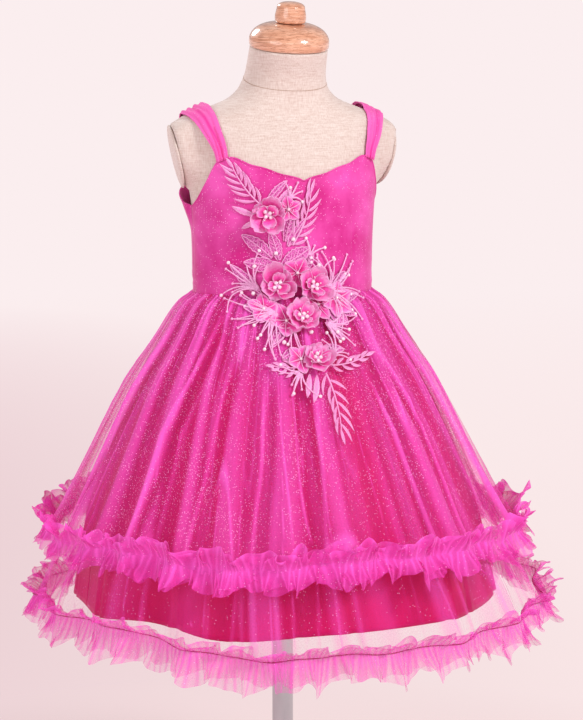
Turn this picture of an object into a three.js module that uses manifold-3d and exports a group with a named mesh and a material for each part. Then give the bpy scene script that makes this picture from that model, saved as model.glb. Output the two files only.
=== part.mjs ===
// Toddler party dress on a limbless dress form, millimetres, +Z up.
// The origin is the middle of the stand's underside. The dress front faces -Y and +X is the viewer's right.
// Angles round the body are in degrees: 0 at centre front, 90 at +X, 180 at centre back.

import * as THREE from 'three';
import { mergeVertices } from 'three/addons/utils/BufferGeometryUtils.js';
import Module from 'manifold-3d';

const wasm = await Module();
wasm.setup();

// Driving dimensions
const waistHeight = 610;
const seamGap = 0.3;
const clothWall = 1.5;
const tulleWall = 1.3;
const liningWall = 1.2;
const frillWall = 1.8;
const bodiceEase = 0.8;
const poleRadius = 11;
const poleTop = 434;
const baseRadius = 150;
const baseThick = 8;
const neckTilt = 10;

// Sections of the padded form, from the flat underside to the neck
const formSections = [
  { z: 440, wide: 96, deep: 71, y: 0 },
  { z: 446, wide: 103, deep: 78, y: 0 },
  { z: 500, wide: 105, deep: 80, y: 0 },
  { z: 560, wide: 98, deep: 73, y: 0 },
  { z: 610, wide: 93.2, deep: 68.2, y: 0 },
  { z: 650, wide: 93.6, deep: 68.6, y: 0 },
  { z: 696, wide: 95.8, deep: 68.8, y: 0 },
  { z: 709, wide: 97.65, deep: 67.9, y: 0.25 },
  { z: 722, wide: 99.5, deep: 67, y: 0.5 },
  { z: 733, wide: 102, deep: 65.6, y: 0.8 },
  { z: 745, wide: 105, deep: 64, y: 1 },
  { z: 757, wide: 109, deep: 61, y: 1.5 },
  { z: 768, wide: 112.5, deep: 58, y: 2 },
  { z: 780, wide: 113.5, deep: 53, y: 2 },
  { z: 788, wide: 106, deep: 49.5, y: 2 },
  { z: 797, wide: 80, deep: 46.5, y: 1 },
  { z: 807, wide: 56, deep: 44.5, y: 0 },
  { z: 819, wide: 45, deep: 43.5, y: -3 },
  { z: 834, wide: 41, deep: 41, y: -10 },
  { z: 857, wide: 39.5, deep: 39.5, y: -20 },
];

// Wooden cap and knob, radius against height above the top of the neck
const capProfile = [
  { r: 37.5, z: 0.4 },
  { r: 40, z: 2 },
  { r: 40.6, z: 6 },
  { r: 39.4, z: 12 },
  { r: 34.5, z: 18.5 },
  { r: 26, z: 23.4 },
  { r: 16, z: 25.4 },
];
const knobProfile = [
  { r: 13.6, z: 25.8 },
  { r: 15.6, z: 28.6 },
  { r: 15.8, z: 33 },
  { r: 14.2, z: 40 },
  { r: 13.8, z: 43.5 },
  { r: 9, z: 46.4 },
];

// The shoulders swell out at the sides and end in a flat cut, which an oval plate covers.
// A cut runs through x at height z and faces a little down and back.
const shoulderEnd = { swell: 15, from: 60, full: 73, above: 11, over: 24, low: 768, high: 788 };
const armCut = { x: 111.5, z: 749, back: 0.164, down: 0.231 };
const armPlate = { y: 8, z: 748, tall: 33, deep: 28, thick: 3.4, gap: 0.35 };

// Height of the bodice's top edge against the angle from centre front
const frontTop = [
  { at: 0, z: 724.5 },
  { at: 3.5, z: 727.5 },
  { at: 14, z: 732 },
  { at: 22, z: 737.5 },
  { at: 30, z: 741 },
  { at: 41, z: 748.5 },
  { at: 50, z: 745 },
  { at: 56, z: 736.5 },
  { at: 63.5, z: 724 },
  { at: 72, z: 712 },
  { at: 80.5, z: 703 },
  { at: 90, z: 697 },
];
const backTop = [
  { at: 90, z: 697 },
  { at: 98, z: 702 },
  { at: 106, z: 711 },
  { at: 115, z: 716.5 },
  { at: 127, z: 717.5 },
  { at: 141, z: 717.5 },
  { at: 158, z: 716.5 },
  { at: 180, z: 716 },
];
const torsoColumns = [
  ...[0, 11.25, 22.5, 33.75, 45, 55, 62, 68, 74, 82, 90, 98, 106, 112, 118, 125, 135, 146.25, 157.5, 168.75],
  ...[180, 191.25, 202.5, 213.75, 225, 235, 242, 248, 254, 262, 270, 278, 286, 292, 298, 305, 315, 326.25],
  ...[337.5, 348.75],
];
const frontColumns = [0, 3.5, 8.5, 14, 22, 30, 36, 41, 50, 56, 63.5, 72, 80.5, 89.9];
const backColumns = [90.1, 98, 106, 115, 122, 130, 138, 146, 154, 162.5, 171, 179.8];
const bodiceRows = [0, 0.12, 0.3, 0.55, 0.8, 1];
// The back stands off the form at the armhole, most at its upper corner
const standOff = { at: 104, spread: 17, most: 9, low: 668, high: 712 };

// Strap centre line from the front edge over the shoulder to the back edge
const strapStations = [
  { x: 78.5, y: -45, z: 749.6, across: 12.5, out: [0.35, -0.93, 0.12] },
  { x: 82.5, y: -42.6, z: 762, across: 15, out: [0.35, -0.85, 0.38] },
  { x: 87, y: -36, z: 775, across: 18.5, out: [0.36, -0.72, 0.6] },
  { x: 91, y: -24, z: 788, across: 22.5, out: [0.38, -0.45, 0.8] },
  { x: 94, y: -9, z: 795, across: 25.5, out: [0.4, -0.15, 0.9] },
  { x: 94.5, y: 7, z: 796, across: 26, out: [0.4, 0.1, 0.9] },
  { x: 92, y: 24, z: 789, across: 24, out: [0.36, 0.45, 0.8] },
  { x: 87, y: 39, z: 775, across: 20.5, out: [0.32, 0.75, 0.58] },
  { x: 80.5, y: 49.5, z: 754, across: 17.5, out: [0.28, 0.9, 0.3] },
  { x: 73.5, y: 54.5, z: 735, across: 15.5, out: [0.24, 0.95, 0.15] },
  { x: 68.5, y: 56, z: 718.6, across: 14.5, out: [0.22, 0.97, 0.05] },
];
const strapFolds = [0, 1, 0.1, 0.9, 0];
const strapSteps = 18;
const strapFoldHeight = 1.7;
const strapEase = 1.7;
const strapMove = 0.25;
const strapMostMoved = 10;

// Folds of the upper tulle, front half; the back half repeats them half a turn on
const upperFolds = [
  { at: -83, deep: 0.85 },
  { at: -70, deep: 1 },
  { at: -57, deep: 0.8 },
  { at: -44, deep: 1 },
  { at: -31, deep: 0.7 },
  { at: -17, deep: 0.95 },
  { at: -3, deep: 0.75 },
  { at: 12, deep: 1 },
  { at: 28, deep: 0.9 },
  { at: 45, deep: 1 },
  { at: 61, deep: 0.8 },
  { at: 77, deep: 0.95 },
];
const lowerFolds = [
  { at: -80, deep: 1 },
  { at: -60, deep: 0.8 },
  { at: -41, deep: 1 },
  { at: -22, deep: 0.9 },
  { at: -1, deep: 0.75 },
  { at: 20, deep: 1 },
  { at: 41, deep: 0.85 },
  { at: 61, deep: 1 },
  { at: 81, deep: 0.9 },
];
const liningFolds = [
  { at: -74, deep: 0.9 },
  { at: -38, deep: 1 },
  { at: -3, deep: 0.7 },
  { at: 33, deep: 1 },
  { at: 70, deep: 0.85 },
];

// Skirt layers: half width over the fold crests, depth as a share of it, fold depth,
// how far the ring is moved to +X, and the share of the hem's rise and fall that the row takes
const upperTulle = {
  wall: tulleWall,
  folds: upperFolds,
  foldSteps: 4,
  hemWave: 5,
  hemDrop: 0,
  rows: [
    { z: 609.7, wide: 100.2, ratio: 0.744, fold: 0.8, x: 0, hem: 0 },
    { z: 592, wide: 116, ratio: 0.765, fold: 2.2, x: 0, hem: 0 },
    { z: 565, wide: 133.5, ratio: 0.79, fold: 3.4, x: 0, hem: 0 },
    { z: 525, wide: 161.5, ratio: 0.825, fold: 5, x: 0, hem: 0 },
    { z: 480, wide: 186, ratio: 0.87, fold: 6.6, x: 0, hem: 0 },
    { z: 430, wide: 211.5, ratio: 0.92, fold: 8.6, x: 0, hem: 0 },
    { z: 390, wide: 232.5, ratio: 0.95, fold: 11, x: 0, hem: 0.4 },
    { z: 366, wide: 247, ratio: 0.97, fold: 13, x: 0, hem: 1 },
  ],
};
const lowerTulle = {
  wall: tulleWall,
  folds: lowerFolds,
  foldSteps: 4,
  hemWave: 5,
  hemDrop: 9,
  rows: [
    { z: 609.7, wide: 97.6, ratio: 0.738, fold: 0.4, x: 0, hem: 0 },
    { z: 565, wide: 127.4, ratio: 0.79, fold: 2.5, x: 0, hem: 0 },
    { z: 480, wide: 175.5, ratio: 0.87, fold: 5, x: 0, hem: 0 },
    { z: 390, wide: 216, ratio: 0.95, fold: 8, x: 1, hem: 0 },
    { z: 325, wide: 249, ratio: 0.975, fold: 11, x: 4, hem: 0.5 },
    { z: 289, wide: 265, ratio: 0.985, fold: 14.5, x: 7, hem: 1 },
  ],
};
const lining = {
  wall: liningWall,
  folds: liningFolds,
  foldSteps: 6,
  hemWave: 5,
  hemDrop: 0,
  rows: [
    { z: 609.7, wide: 95, ratio: 0.736, fold: 0, x: 0, hem: 0 },
    { z: 565, wide: 121.5, ratio: 0.79, fold: 1.5, x: 0, hem: 0 },
    { z: 480, wide: 167, ratio: 0.87, fold: 4, x: 0, hem: 0 },
    { z: 390, wide: 203, ratio: 0.945, fold: 6, x: 0, hem: 0 },
    { z: 292, wide: 223, ratio: 0.97, fold: 10, x: 2, hem: 1 },
  ],
};

// Frills: the stitched line's height above the layer's hem, the heights of both free edges
// from that line, and how far each edge flares from the layer between its trough and crest
const upperFrill = {
  layer: upperTulle,
  stitchAboveHem: 1,
  stepsPerColumn: 1,
  edges: [
    { up: 19, near: 5, far: 17, lift: 3, phase: 0 },
    { up: 0, near: 3.4, far: 4.2, lift: 0, phase: 0 },
    { up: -20, near: 6.5, far: 18, lift: 3, phase: 1 },
  ],
};
const lowerFrill = {
  layer: lowerTulle,
  stitchAboveHem: 1,
  stepsPerColumn: 2,
  edges: [
    { up: 9, near: 5.6, far: 10, lift: 1, phase: 0 },
    { up: 0, near: 3.4, far: 4, lift: 0, phase: 0 },
    { up: -27, near: 5, far: 17, lift: 3, phase: 1 },
  ],
};

// Applique of flowers and leaves on the front: x and z of each foot, heading in degrees
// counter-clockwise from +X as seen from the front
const flowers = [
  { name: 'flower_breast', x: -38, z: 692, radius: 18.5, turn: 12 },
  { name: 'flower_waist_left', x: -29, z: 619.5, radius: 17.5, turn: 40 },
  { name: 'flower_waist_right', x: 7, z: 618, radius: 17.5, turn: 5 },
  { name: 'flower_middle', x: -11, z: 588, radius: 17.5, turn: 20 },
  { name: 'flower_low', x: -4.5, z: 549, radius: 17.5, turn: 55 },
];
const leaves = [
  { name: 'leaf_breast_low', x: -27, z: 646, heading: 101, length: 29, width: 11 },
  { name: 'leaf_breast_side', x: -34, z: 648, heading: 133, length: 34, width: 13 },
  { name: 'leaf_waist_upper', x: -23.5, z: 641, heading: 26, length: 31, width: 16 },
  { name: 'leaf_waist_left', x: -29, z: 638, heading: 163, length: 31, width: 14 },
  { name: 'leaf_skirt_right', x: 21, z: 598, heading: 308, length: 22, width: 13 },
];
const fronds = [
  { name: 'frond_strap', x: -46, z: 704, heading: 129, length: 48, width: 24, pairs: 6 },
  { name: 'frond_breast', x: -13.5, z: 663, heading: 66, length: 62, width: 27, pairs: 7 },
  { name: 'frond_low_left', x: -18.5, z: 544, heading: 184, length: 32, width: 16, pairs: 5 },
  { name: 'frond_low_right', x: 11, z: 545, heading: 5, length: 45, width: 17, pairs: 6 },
  { name: 'frond_hemward', x: 2.5, z: 535, heading: 280, length: 56, width: 27, pairs: 7 },
];
const sprays = [
  { name: 'spray_left', x: -45, z: 615, heading: 140, spread: 34, length: 39, strands: 4 },
  { name: 'spray_right', x: 24, z: 613, heading: 27, spread: 108, length: 38, strands: 8 },
  { name: 'spray_low_left', x: -33, z: 596, heading: 210, spread: 66, length: 44, strands: 6 },
  { name: 'spray_low_right', x: 13, z: 584, heading: 325, spread: 42, length: 32, strands: 4 },
];
const appliqueLift = 0.7;
const appliqueWall = 1;
const petalLift = 2.6;
const petalWall = 1.1;

const colours = {
  satin: 0xe5219a,
  tulle: 0xf03cb8,
  liningPink: 0xd81a88,
  frill: 0xf04cc8,
  lace: 0xe88ad0,
  petal: 0xe45ab8,
  linen: 0xf5e4d4,
  wood: 0xd98a5f,
  chrome: 0xd0d2d6,
  enamel: 0xe8e4e2,
};

const dress = new THREE.Group();

function addPart(parent, name, geometry, colour, roughness, metalness = 0) {
  const material = new THREE.MeshStandardMaterial({ color: colour, roughness, metalness });
  const mesh = new THREE.Mesh(geometry, material);
  mesh.name = name;
  parent.add(mesh);
  return mesh;
}

// Value of a named column between the two rows on either side of a place in a table
function readTable(rows, key, place, column) {
  const rising = rows[1][key] > rows[0][key];
  let i = 0;
  while (i < rows.length - 2 && (rising ? place > rows[i + 1][key] : place < rows[i + 1][key])) i += 1;
  const share = THREE.MathUtils.clamp((place - rows[i][key]) / (rows[i + 1][key] - rows[i][key]), 0, 1);
  return THREE.MathUtils.lerp(rows[i][column], rows[i + 1][column], share);
}

function geometryFrom(points, faces) {
  const geometry = new THREE.BufferGeometry();
  const places = points.flatMap((p) => [p.x, p.y, p.z]);
  geometry.setAttribute('position', new THREE.Float32BufferAttribute(places, 3));
  geometry.setIndex(faces);
  return geometry;
}

// Closed wall between a grid of outer points and a grid of inner ones, rows from the top down
// and columns from left to right as seen from outside
function wallBetween(outer, inner) {
  const rows = outer.length;
  const columns = outer[0].length;
  const back = rows * columns;
  const faces = [];
  const quad = (a, b, c, d) => faces.push(a, b, c, a, c, d);
  for (let r = 0; r < rows - 1; r += 1) {
    for (let c = 0; c < columns - 1; c += 1) {
      const a = r * columns + c;
      const d = a + columns;
      quad(a, d, d + 1, a + 1);
      quad(a + back, a + 1 + back, d + 1 + back, d + back);
    }
    const left = r * columns;
    const right = left + columns - 1;
    quad(left, left + back, left + columns + back, left + columns);
    quad(right, right + columns, right + columns + back, right + back);
  }
  for (let c = 0; c < columns - 1; c += 1) {
    const low = (rows - 1) * columns + c;
    quad(c, c + 1, c + 1 + back, c + back);
    quad(low, low + back, low + 1 + back, low + 1);
  }
  return geometryFrom([...outer.flat(), ...inner.flat()], faces);
}

function radians(degrees) {
  return THREE.MathUtils.degToRad(degrees);
}

// Point on the form's skin, moved out by a distance square to its oval section
function formPoint(angle, z, out) {
  const wide = readTable(formSections, 'z', z, 'wide');
  const deep = readTable(formSections, 'z', z, 'deep');
  const centre = readTable(formSections, 'z', z, 'y');
  const normal = new THREE.Vector3(Math.sin(radians(angle)) / wide, -Math.cos(radians(angle)) / deep, 0);
  normal.normalize();
  const turn = radians(angle);
  const skin = new THREE.Vector3(wide * Math.sin(turn), centre - deep * Math.cos(turn), z);
  return skin.addScaledVector(normal, out);
}

function outsideForm(point) {
  const wide = readTable(formSections, 'z', point.z, 'wide');
  const deep = readTable(formSections, 'z', point.z, 'deep');
  const centre = readTable(formSections, 'z', point.z, 'y');
  return Math.hypot(point.x / wide, (point.y - centre) / deep) > 1;
}

// How far the shoulder stands out beyond the oval, only above the dress's armhole
function shoulderSwell(degrees, z) {
  const fromFront = Math.abs(degrees > 180 ? degrees - 360 : degrees);
  const sideways = 90 - Math.abs(90 - fromFront);
  const edge = readTable(fromFront <= 90 ? frontTop : backTop, 'at', fromFront, 'z');
  const { above, over, from, full, low, high } = shoulderEnd;
  const upward = THREE.MathUtils.smoothstep(z - edge, above, above + over);
  const round = THREE.MathUtils.smoothstep(sideways, from, full);
  return shoulderEnd.swell * upward * round * (1 - THREE.MathUtils.smoothstep(z, low, high));
}

function armCutX(y, z) {
  return armCut.x - armCut.back * y + armCut.down * (z - armCut.z);
}

// Padded body and neck of the form, one closed solid
function makeTorso() {
  const around = torsoColumns.length;
  const points = [];
  const faces = [];
  for (const row of formSections) {
    const top = row === formSections.at(-1);
    for (const degrees of torsoColumns) {
      const angle = radians(degrees);
      const y = row.y - row.deep * Math.cos(angle);
      const tilt = top ? (y - row.y) * Math.tan(radians(neckTilt)) : 0;
      const wide = (row.wide + shoulderSwell(degrees, row.z)) * Math.sin(angle);
      const limit = armCutX(y, row.z);
      points.push(new THREE.Vector3(THREE.MathUtils.clamp(wide, -limit, limit), y, row.z + tilt));
    }
  }
  for (let r = 0; r < formSections.length - 1; r += 1) {
    for (let i = 0; i < around; i += 1) {
      const a = r * around + i;
      const b = r * around + ((i + 1) % around);
      faces.push(a, b, b + around, a, b + around, a + around);
    }
  }
  const last = (formSections.length - 1) * around;
  for (let i = 1; i < around - 1; i += 1) {
    faces.push(0, i + 1, i);
    faces.push(last, last + i, last + i + 1);
  }
  return geometryFrom(points, faces);
}

function lathe(profile, segments) {
  const points = [
    new THREE.Vector2(0, profile[0].z),
    ...profile.map((row) => new THREE.Vector2(row.r, row.z)),
    new THREE.Vector2(0, profile.at(-1).z),
  ];
  return new THREE.LatheGeometry(points, segments).rotateX(Math.PI / 2);
}

// Wooden cap and knob, tilted with the top of the neck
function addNeckCap() {
  const neck = formSections.at(-1);
  const head = new THREE.Group();
  head.position.set(0, neck.y, neck.z);
  head.rotation.x = radians(neckTilt);
  addPart(head, 'neck_cap', lathe(capProfile, 22), colours.wood, 0.3);
  addPart(head, 'cap_knob', lathe(knobProfile, 16), colours.wood, 0.3);
  dress.add(head);
}

// Oval arm plates with a rounded rim, flat against the shoulder's cut
function addArmPlates() {
  const profile = [
    { r: 0.93, z: 0 },
    { r: 1, z: 0.35 },
    { r: 0.96, z: 0.8 },
    { r: 0.7, z: 1 },
  ];
  for (const side of [-1, 1]) {
    const plate = lathe(profile, 18);
    plate.scale(armPlate.deep, armPlate.tall, armPlate.thick);
    plate.rotateX(Math.PI / 2);
    plate.rotateZ((side * Math.PI) / 2);
    const mesh = addPart(dress, side < 0 ? 'arm_plate_left' : 'arm_plate_right', plate, colours.linen, 0.8);
    const facing = new THREE.Vector3(side, armCut.back, -armCut.down).normalize();
    mesh.quaternion.setFromUnitVectors(new THREE.Vector3(side, 0, 0), facing);
    mesh.position.set(side * armCutX(armPlate.y, armPlate.z), armPlate.y, armPlate.z);
    mesh.position.addScaledVector(facing, armPlate.gap);
  }
}

// Pole, its fixings and the round foot
function addStand() {
  const underside = formSections[0].z;
  const flange = [
    { r: 45, z: underside - 5.6 },
    { r: 46, z: underside - 4.6 },
    { r: 46, z: underside - 0.4 },
  ];
  addPart(dress, 'pole_flange', lathe(flange, 20), colours.wood, 0.4);
  const pole = new THREE.CylinderGeometry(poleRadius, poleRadius, poleTop - baseThick - 1, 18);
  pole.rotateX(Math.PI / 2);
  const poleMesh = addPart(dress, 'pole', pole, colours.chrome, 0.12, 1);
  poleMesh.position.z = (poleTop + baseThick) / 2;
  const collar = [
    new THREE.Vector2(poleRadius + seamGap, baseThick + 0.3),
    new THREE.Vector2(29, baseThick + 0.3),
    new THREE.Vector2(28, baseThick + 5),
    new THREE.Vector2(18, baseThick + 14),
    new THREE.Vector2(16.5, baseThick + 34),
    new THREE.Vector2(poleRadius + seamGap, baseThick + 35),
    new THREE.Vector2(poleRadius + seamGap, baseThick + 0.3),
  ];
  const collarShape = new THREE.LatheGeometry(collar, 18).rotateX(Math.PI / 2);
  addPart(dress, 'pole_collar', collarShape, colours.chrome, 0.15, 1);
  const foot = [
    { r: baseRadius, z: 0 },
    { r: baseRadius, z: baseThick - 3 },
    { r: baseRadius - 3, z: baseThick },
  ];
  addPart(dress, 'base_plate', lathe(foot, 36), colours.enamel, 0.35, 0.4);
}

// Front or back bodice panel between two edges, hung from its top edge down to the waist seam
function makeBodicePanel(angles, topTable, extraOut) {
  const outer = [];
  const inner = [];
  for (const share of bodiceRows) {
    const outerRow = [];
    const innerRow = [];
    for (const angle of angles) {
      const top = readTable(topTable, 'at', Math.abs(angle), 'z');
      const z = THREE.MathUtils.lerp(top, waistHeight, share);
      const stand = bodiceEase + extraOut(Math.abs(angle), z);
      outerRow.push(formPoint(angle, z, stand + clothWall));
      innerRow.push(formPoint(angle, z, stand));
    }
    outer.push(outerRow);
    inner.push(innerRow);
  }
  return wallBetween(outer, inner);
}

function backStandOff(angle, z) {
  const sideways = Math.exp(-(((angle - standOff.at) / standOff.spread) ** 2));
  const upward = THREE.MathUtils.smoothstep(z, standOff.low, standOff.high);
  const seam = THREE.MathUtils.smoothstep(angle, 90, 97);
  return standOff.most * sideways * upward * seam;
}

function addBodice() {
  const mirrored = frontColumns.slice(1).map((angle) => -angle).reverse();
  const front = makeBodicePanel([...mirrored, ...frontColumns], frontTop, () => 0);
  addPart(dress, 'bodice_front', front, colours.satin, 0.6);
  const right = makeBodicePanel(backColumns, backTop, backStandOff);
  addPart(dress, 'bodice_back_right', right, colours.satin, 0.6);
  const left = makeBodicePanel(backColumns.map((angle) => -angle).reverse(), backTop, backStandOff);
  addPart(dress, 'bodice_back_left', left, colours.satin, 0.6);
}

// Small drop-shaped pull of the hidden zip at centre back
function addZipPull() {
  const drop = new THREE.Shape();
  drop.moveTo(-1.4, 0);
  drop.lineTo(-2.6, -11);
  drop.absarc(0, -11.5, 2.6, Math.PI, 2 * Math.PI, false);
  drop.lineTo(1.4, 0);
  const pull = new THREE.ExtrudeGeometry(drop, { depth: 1.4, bevelEnabled: false, curveSegments: 6 });
  pull.rotateX(Math.PI / 2);
  const skin = formPoint(180, 697, bodiceEase + clothWall + seamGap);
  const mesh = addPart(dress, 'zip_pull', pull, colours.satin, 0.4, 0.3);
  mesh.position.set(0, skin.y + 1.4, 712);
}

// Gathered strap, a thin band with lengthwise folds
function makeStrap(side) {
  const spots = strapStations.map((row) => new THREE.Vector3(row.x, row.y, row.z));
  const route = new THREE.CatmullRomCurve3(spots);
  const outer = [];
  const inner = [];
  for (let i = 0; i <= strapSteps; i += 1) {
    const place = (i / strapSteps) * (strapStations.length - 1);
    const row = Math.min(Math.floor(place), strapStations.length - 2);
    const before = new THREE.Vector3(...strapStations[row].out);
    const after = new THREE.Vector3(...strapStations[row + 1].out);
    const width = THREE.MathUtils.lerp(strapStations[row].across, strapStations[row + 1].across, place - row);
    const out = before.lerp(after, place - row).normalize();
    const along = route.getTangent(i / strapSteps);
    const across = new THREE.Vector3().crossVectors(along, out).normalize();
    const outerRow = [];
    const innerRow = [];
    for (let c = 0; c < strapFolds.length; c += 1) {
      const share = c / (strapFolds.length - 1) - 0.5;
      const low = route.getPoint(i / strapSteps).addScaledVector(across, share * width);
      low.addScaledVector(out, strapFolds[c] * strapFoldHeight);
      for (let moved = 0; moved < strapMostMoved; moved += strapMove) {
        if (outsideForm(low.clone().addScaledVector(out, -strapEase))) break;
        low.addScaledVector(out, strapMove);
      }
      const high = low.clone().addScaledVector(out, clothWall);
      for (const point of [low, high]) point.x *= side;
      outerRow.push(high);
      innerRow.push(low);
    }
    if (side > 0) {
      outerRow.reverse();
      innerRow.reverse();
    }
    outer.push(outerRow);
    inner.push(innerRow);
  }
  return wallBetween(outer, inner);
}

// Angles and heights of the steps across every fold of a layer, all round
function foldSteps(layer) {
  const crests = [...layer.folds, ...layer.folds.map((fold) => ({ at: fold.at + 180, deep: fold.deep }))];
  const steps = [];
  const half = layer.foldSteps / 2;
  for (let i = 0; i < crests.length; i += 1) {
    const here = crests[i];
    const next = crests[(i + 1) % crests.length];
    const reach = (next.at - here.at + 360) % 360;
    for (let s = 0; s < layer.foldSteps; s += 1) {
      const share = s / layer.foldSteps;
      const deep = THREE.MathUtils.lerp(here.deep, next.deep, share);
      const toTrough = 1 - Math.abs(s - half) / half;
      const height = 1 - deep * Math.sin((toTrough * Math.PI) / 2) ** 1.4;
      steps.push({ at: here.at + share * reach, height });
    }
  }
  return steps;
}

// Height of the fold pattern at an angle, straight between the steps
function foldHeight(steps, angle) {
  const first = steps[0].at;
  const turned = first + ((((angle - first) % 360) + 360) % 360);
  const loop = [...steps, { at: first + 360, height: steps[0].height }];
  return readTable(loop, 'at', turned, 'height');
}

// Gentle rise and fall of a hem round the skirt
function hemRise(layer, angle) {
  const wave = Math.sin(radians(5 * angle + 40)) * 0.6 + Math.sin(radians(8 * angle + 155)) * 0.4;
  return layer.hemWave * wave - layer.hemDrop * Math.cos(radians(2 * angle));
}

// Point on a skirt layer's outside, moved out by a distance
function layerPoint(layer, steps, angle, row, out) {
  const reach = out - row.fold * (1 - foldHeight(steps, angle));
  const sine = Math.sin(radians(angle));
  const cosine = Math.cos(radians(angle));
  return new THREE.Vector3(
    row.x + (row.wide + reach) * sine,
    -(row.wide * row.ratio + reach) * cosine,
    row.z + row.hem * hemRise(layer, angle),
  );
}

// Row of a layer's table at any height
function layerRow(layer, z) {
  const row = { z };
  for (const column of ['wide', 'ratio', 'fold', 'x', 'hem']) {
    row[column] = readTable(layer.rows, 'z', z, column);
  }
  return row;
}

// Column angles of one half, with the side seams' gap at both ends
function halfAngles(steps, middle) {
  const start = middle - 90 + 0.1;
  const end = middle + 90 - 0.1;
  const inside = [];
  for (const turn of [-360, 0, 360]) {
    for (const step of steps) {
      const angle = step.at + turn;
      if (angle > start + 0.8 && angle < end - 0.8) inside.push(angle);
    }
  }
  return [start, ...inside.sort((a, b) => a - b), end];
}

function makeSkirtHalf(layer, middle) {
  const steps = foldSteps(layer);
  const angles = halfAngles(steps, middle);
  const face = (depth) =>
    layer.rows.map((row) => angles.map((angle) => layerPoint(layer, steps, angle, row, depth)));
  return wallBetween(face(0), face(-layer.wall));
}

// Frill half: a strip stitched to the layer near its hem, both free edges waving outward
function makeFrillHalf(frill, middle) {
  const { layer } = frill;
  const steps = foldSteps(layer);
  const hem = layer.rows.at(-1);
  const columns = halfAngles(steps, middle);
  const angles = [columns[0]];
  for (let i = 1; i < columns.length; i += 1) {
    for (let s = 1; s <= frill.stepsPerColumn; s += 1) {
      angles.push(THREE.MathUtils.lerp(columns[i - 1], columns[i], s / frill.stepsPerColumn));
    }
  }
  const edgeRow = (edge, inward) => angles.map((angle, i) => {
    const wave = (i + edge.phase) % 2;
    const uneven = 0.78 + 0.22 * Math.sin(radians(angle * 7 + 40 * edge.phase));
    const reach = THREE.MathUtils.lerp(edge.near, edge.far * uneven, wave);
    const z = hem.z + frill.stitchAboveHem + edge.up;
    const row = layerRow(layer, Math.max(z, hem.z));
    const point = layerPoint(layer, steps, angle, row, reach - inward);
    point.z = z + row.hem * hemRise(layer, angle) + edge.lift * Math.sin(i * 1.3);
    return point;
  });
  const outer = frill.edges.map((edge) => edgeRow(edge, 0));
  const inner = frill.edges.map((edge) => edgeRow(edge, frillWall));
  return wallBetween(outer, inner);
}

function addSkirts() {
  const layers = [
    { name: 'lining', make: (middle) => makeSkirtHalf(lining, middle), colour: colours.liningPink },
    { name: 'tulle_lower', make: (middle) => makeSkirtHalf(lowerTulle, middle), colour: colours.tulle },
    { name: 'tulle_upper', make: (middle) => makeSkirtHalf(upperTulle, middle), colour: colours.tulle },
    { name: 'frill_lower', make: (middle) => makeFrillHalf(lowerFrill, middle), colour: colours.frill },
    { name: 'frill_upper', make: (middle) => makeFrillHalf(upperFrill, middle), colour: colours.frill },
  ];
  for (const layer of layers) {
    addPart(dress, `${layer.name}_front`, layer.make(0), layer.colour, 0.7);
    addPart(dress, `${layer.name}_back`, layer.make(180), layer.colour, 0.7);
  }
}

// Surface that the applique lies on: the bodice front above the waist, the crests of the
// upper tulle below it, and a short ramp between them
function bedDepth(x, z) {
  const ramp = 12;
  const bodice = bodiceEase + clothWall;
  const tulleRow = layerRow(upperTulle, Math.min(z, waistHeight - seamGap));
  const tulleY = -tulleRow.wide * tulleRow.ratio * Math.sqrt(1 - (x / tulleRow.wide) ** 2);
  if (z <= waistHeight) return tulleY;
  const wide = readTable(formSections, 'z', z, 'wide') + bodice;
  const deep = readTable(formSections, 'z', z, 'deep') + bodice;
  const centre = readTable(formSections, 'z', z, 'y');
  const bodiceY = centre - deep * Math.sqrt(1 - (x / wide) ** 2);
  const share = Math.min((z - waistHeight) / ramp, 1);
  return Math.min(bodiceY, THREE.MathUtils.lerp(tulleY, bodiceY, share));
}

function bedNormal(x, z) {
  const step = 4;
  const slopeX = (bedDepth(x + step, z) - bedDepth(x - step, z)) / (2 * step);
  const slopeZ = (bedDepth(x, z + step) - bedDepth(x, z - step)) / (2 * step);
  return new THREE.Vector3(slopeX, -1, slopeZ).normalize();
}

function bedPoint(x, z, out) {
  return new THREE.Vector3(x, bedDepth(x, z), z).addScaledVector(bedNormal(x, z), out);
}

// Thin closed piece from flat points, laid on the bed; each flat point has its own lift
function layPiece(flat, faces) {
  const top = flat.map((p) => bedPoint(p.x, p.z, appliqueLift + appliqueWall + p.lift));
  const under = flat.map((p) => bedPoint(p.x, p.z, appliqueLift));
  const count = flat.length;
  const all = [];
  const edges = new Map();
  for (const [a, b, c] of faces) {
    all.push(a, b, c, a + count, c + count, b + count);
    for (const [from, to] of [[a, b], [b, c], [c, a]]) edges.set(`${from}_${to}`, [from, to]);
  }
  for (const [from, to] of edges.values()) {
    if (edges.has(`${to}_${from}`)) continue;
    all.push(from, from + count, to + count, from, to + count, to);
  }
  return geometryFrom([...top, ...under], all);
}

// Flat place at a distance along and across a heading
function flatPlace(piece, along, across, lift = 0) {
  const cosine = Math.cos(radians(piece.heading));
  const sine = Math.sin(radians(piece.heading));
  return {
    x: piece.x + along * cosine - across * sine,
    z: piece.z + along * sine + across * cosine,
    lift,
  };
}

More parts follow.
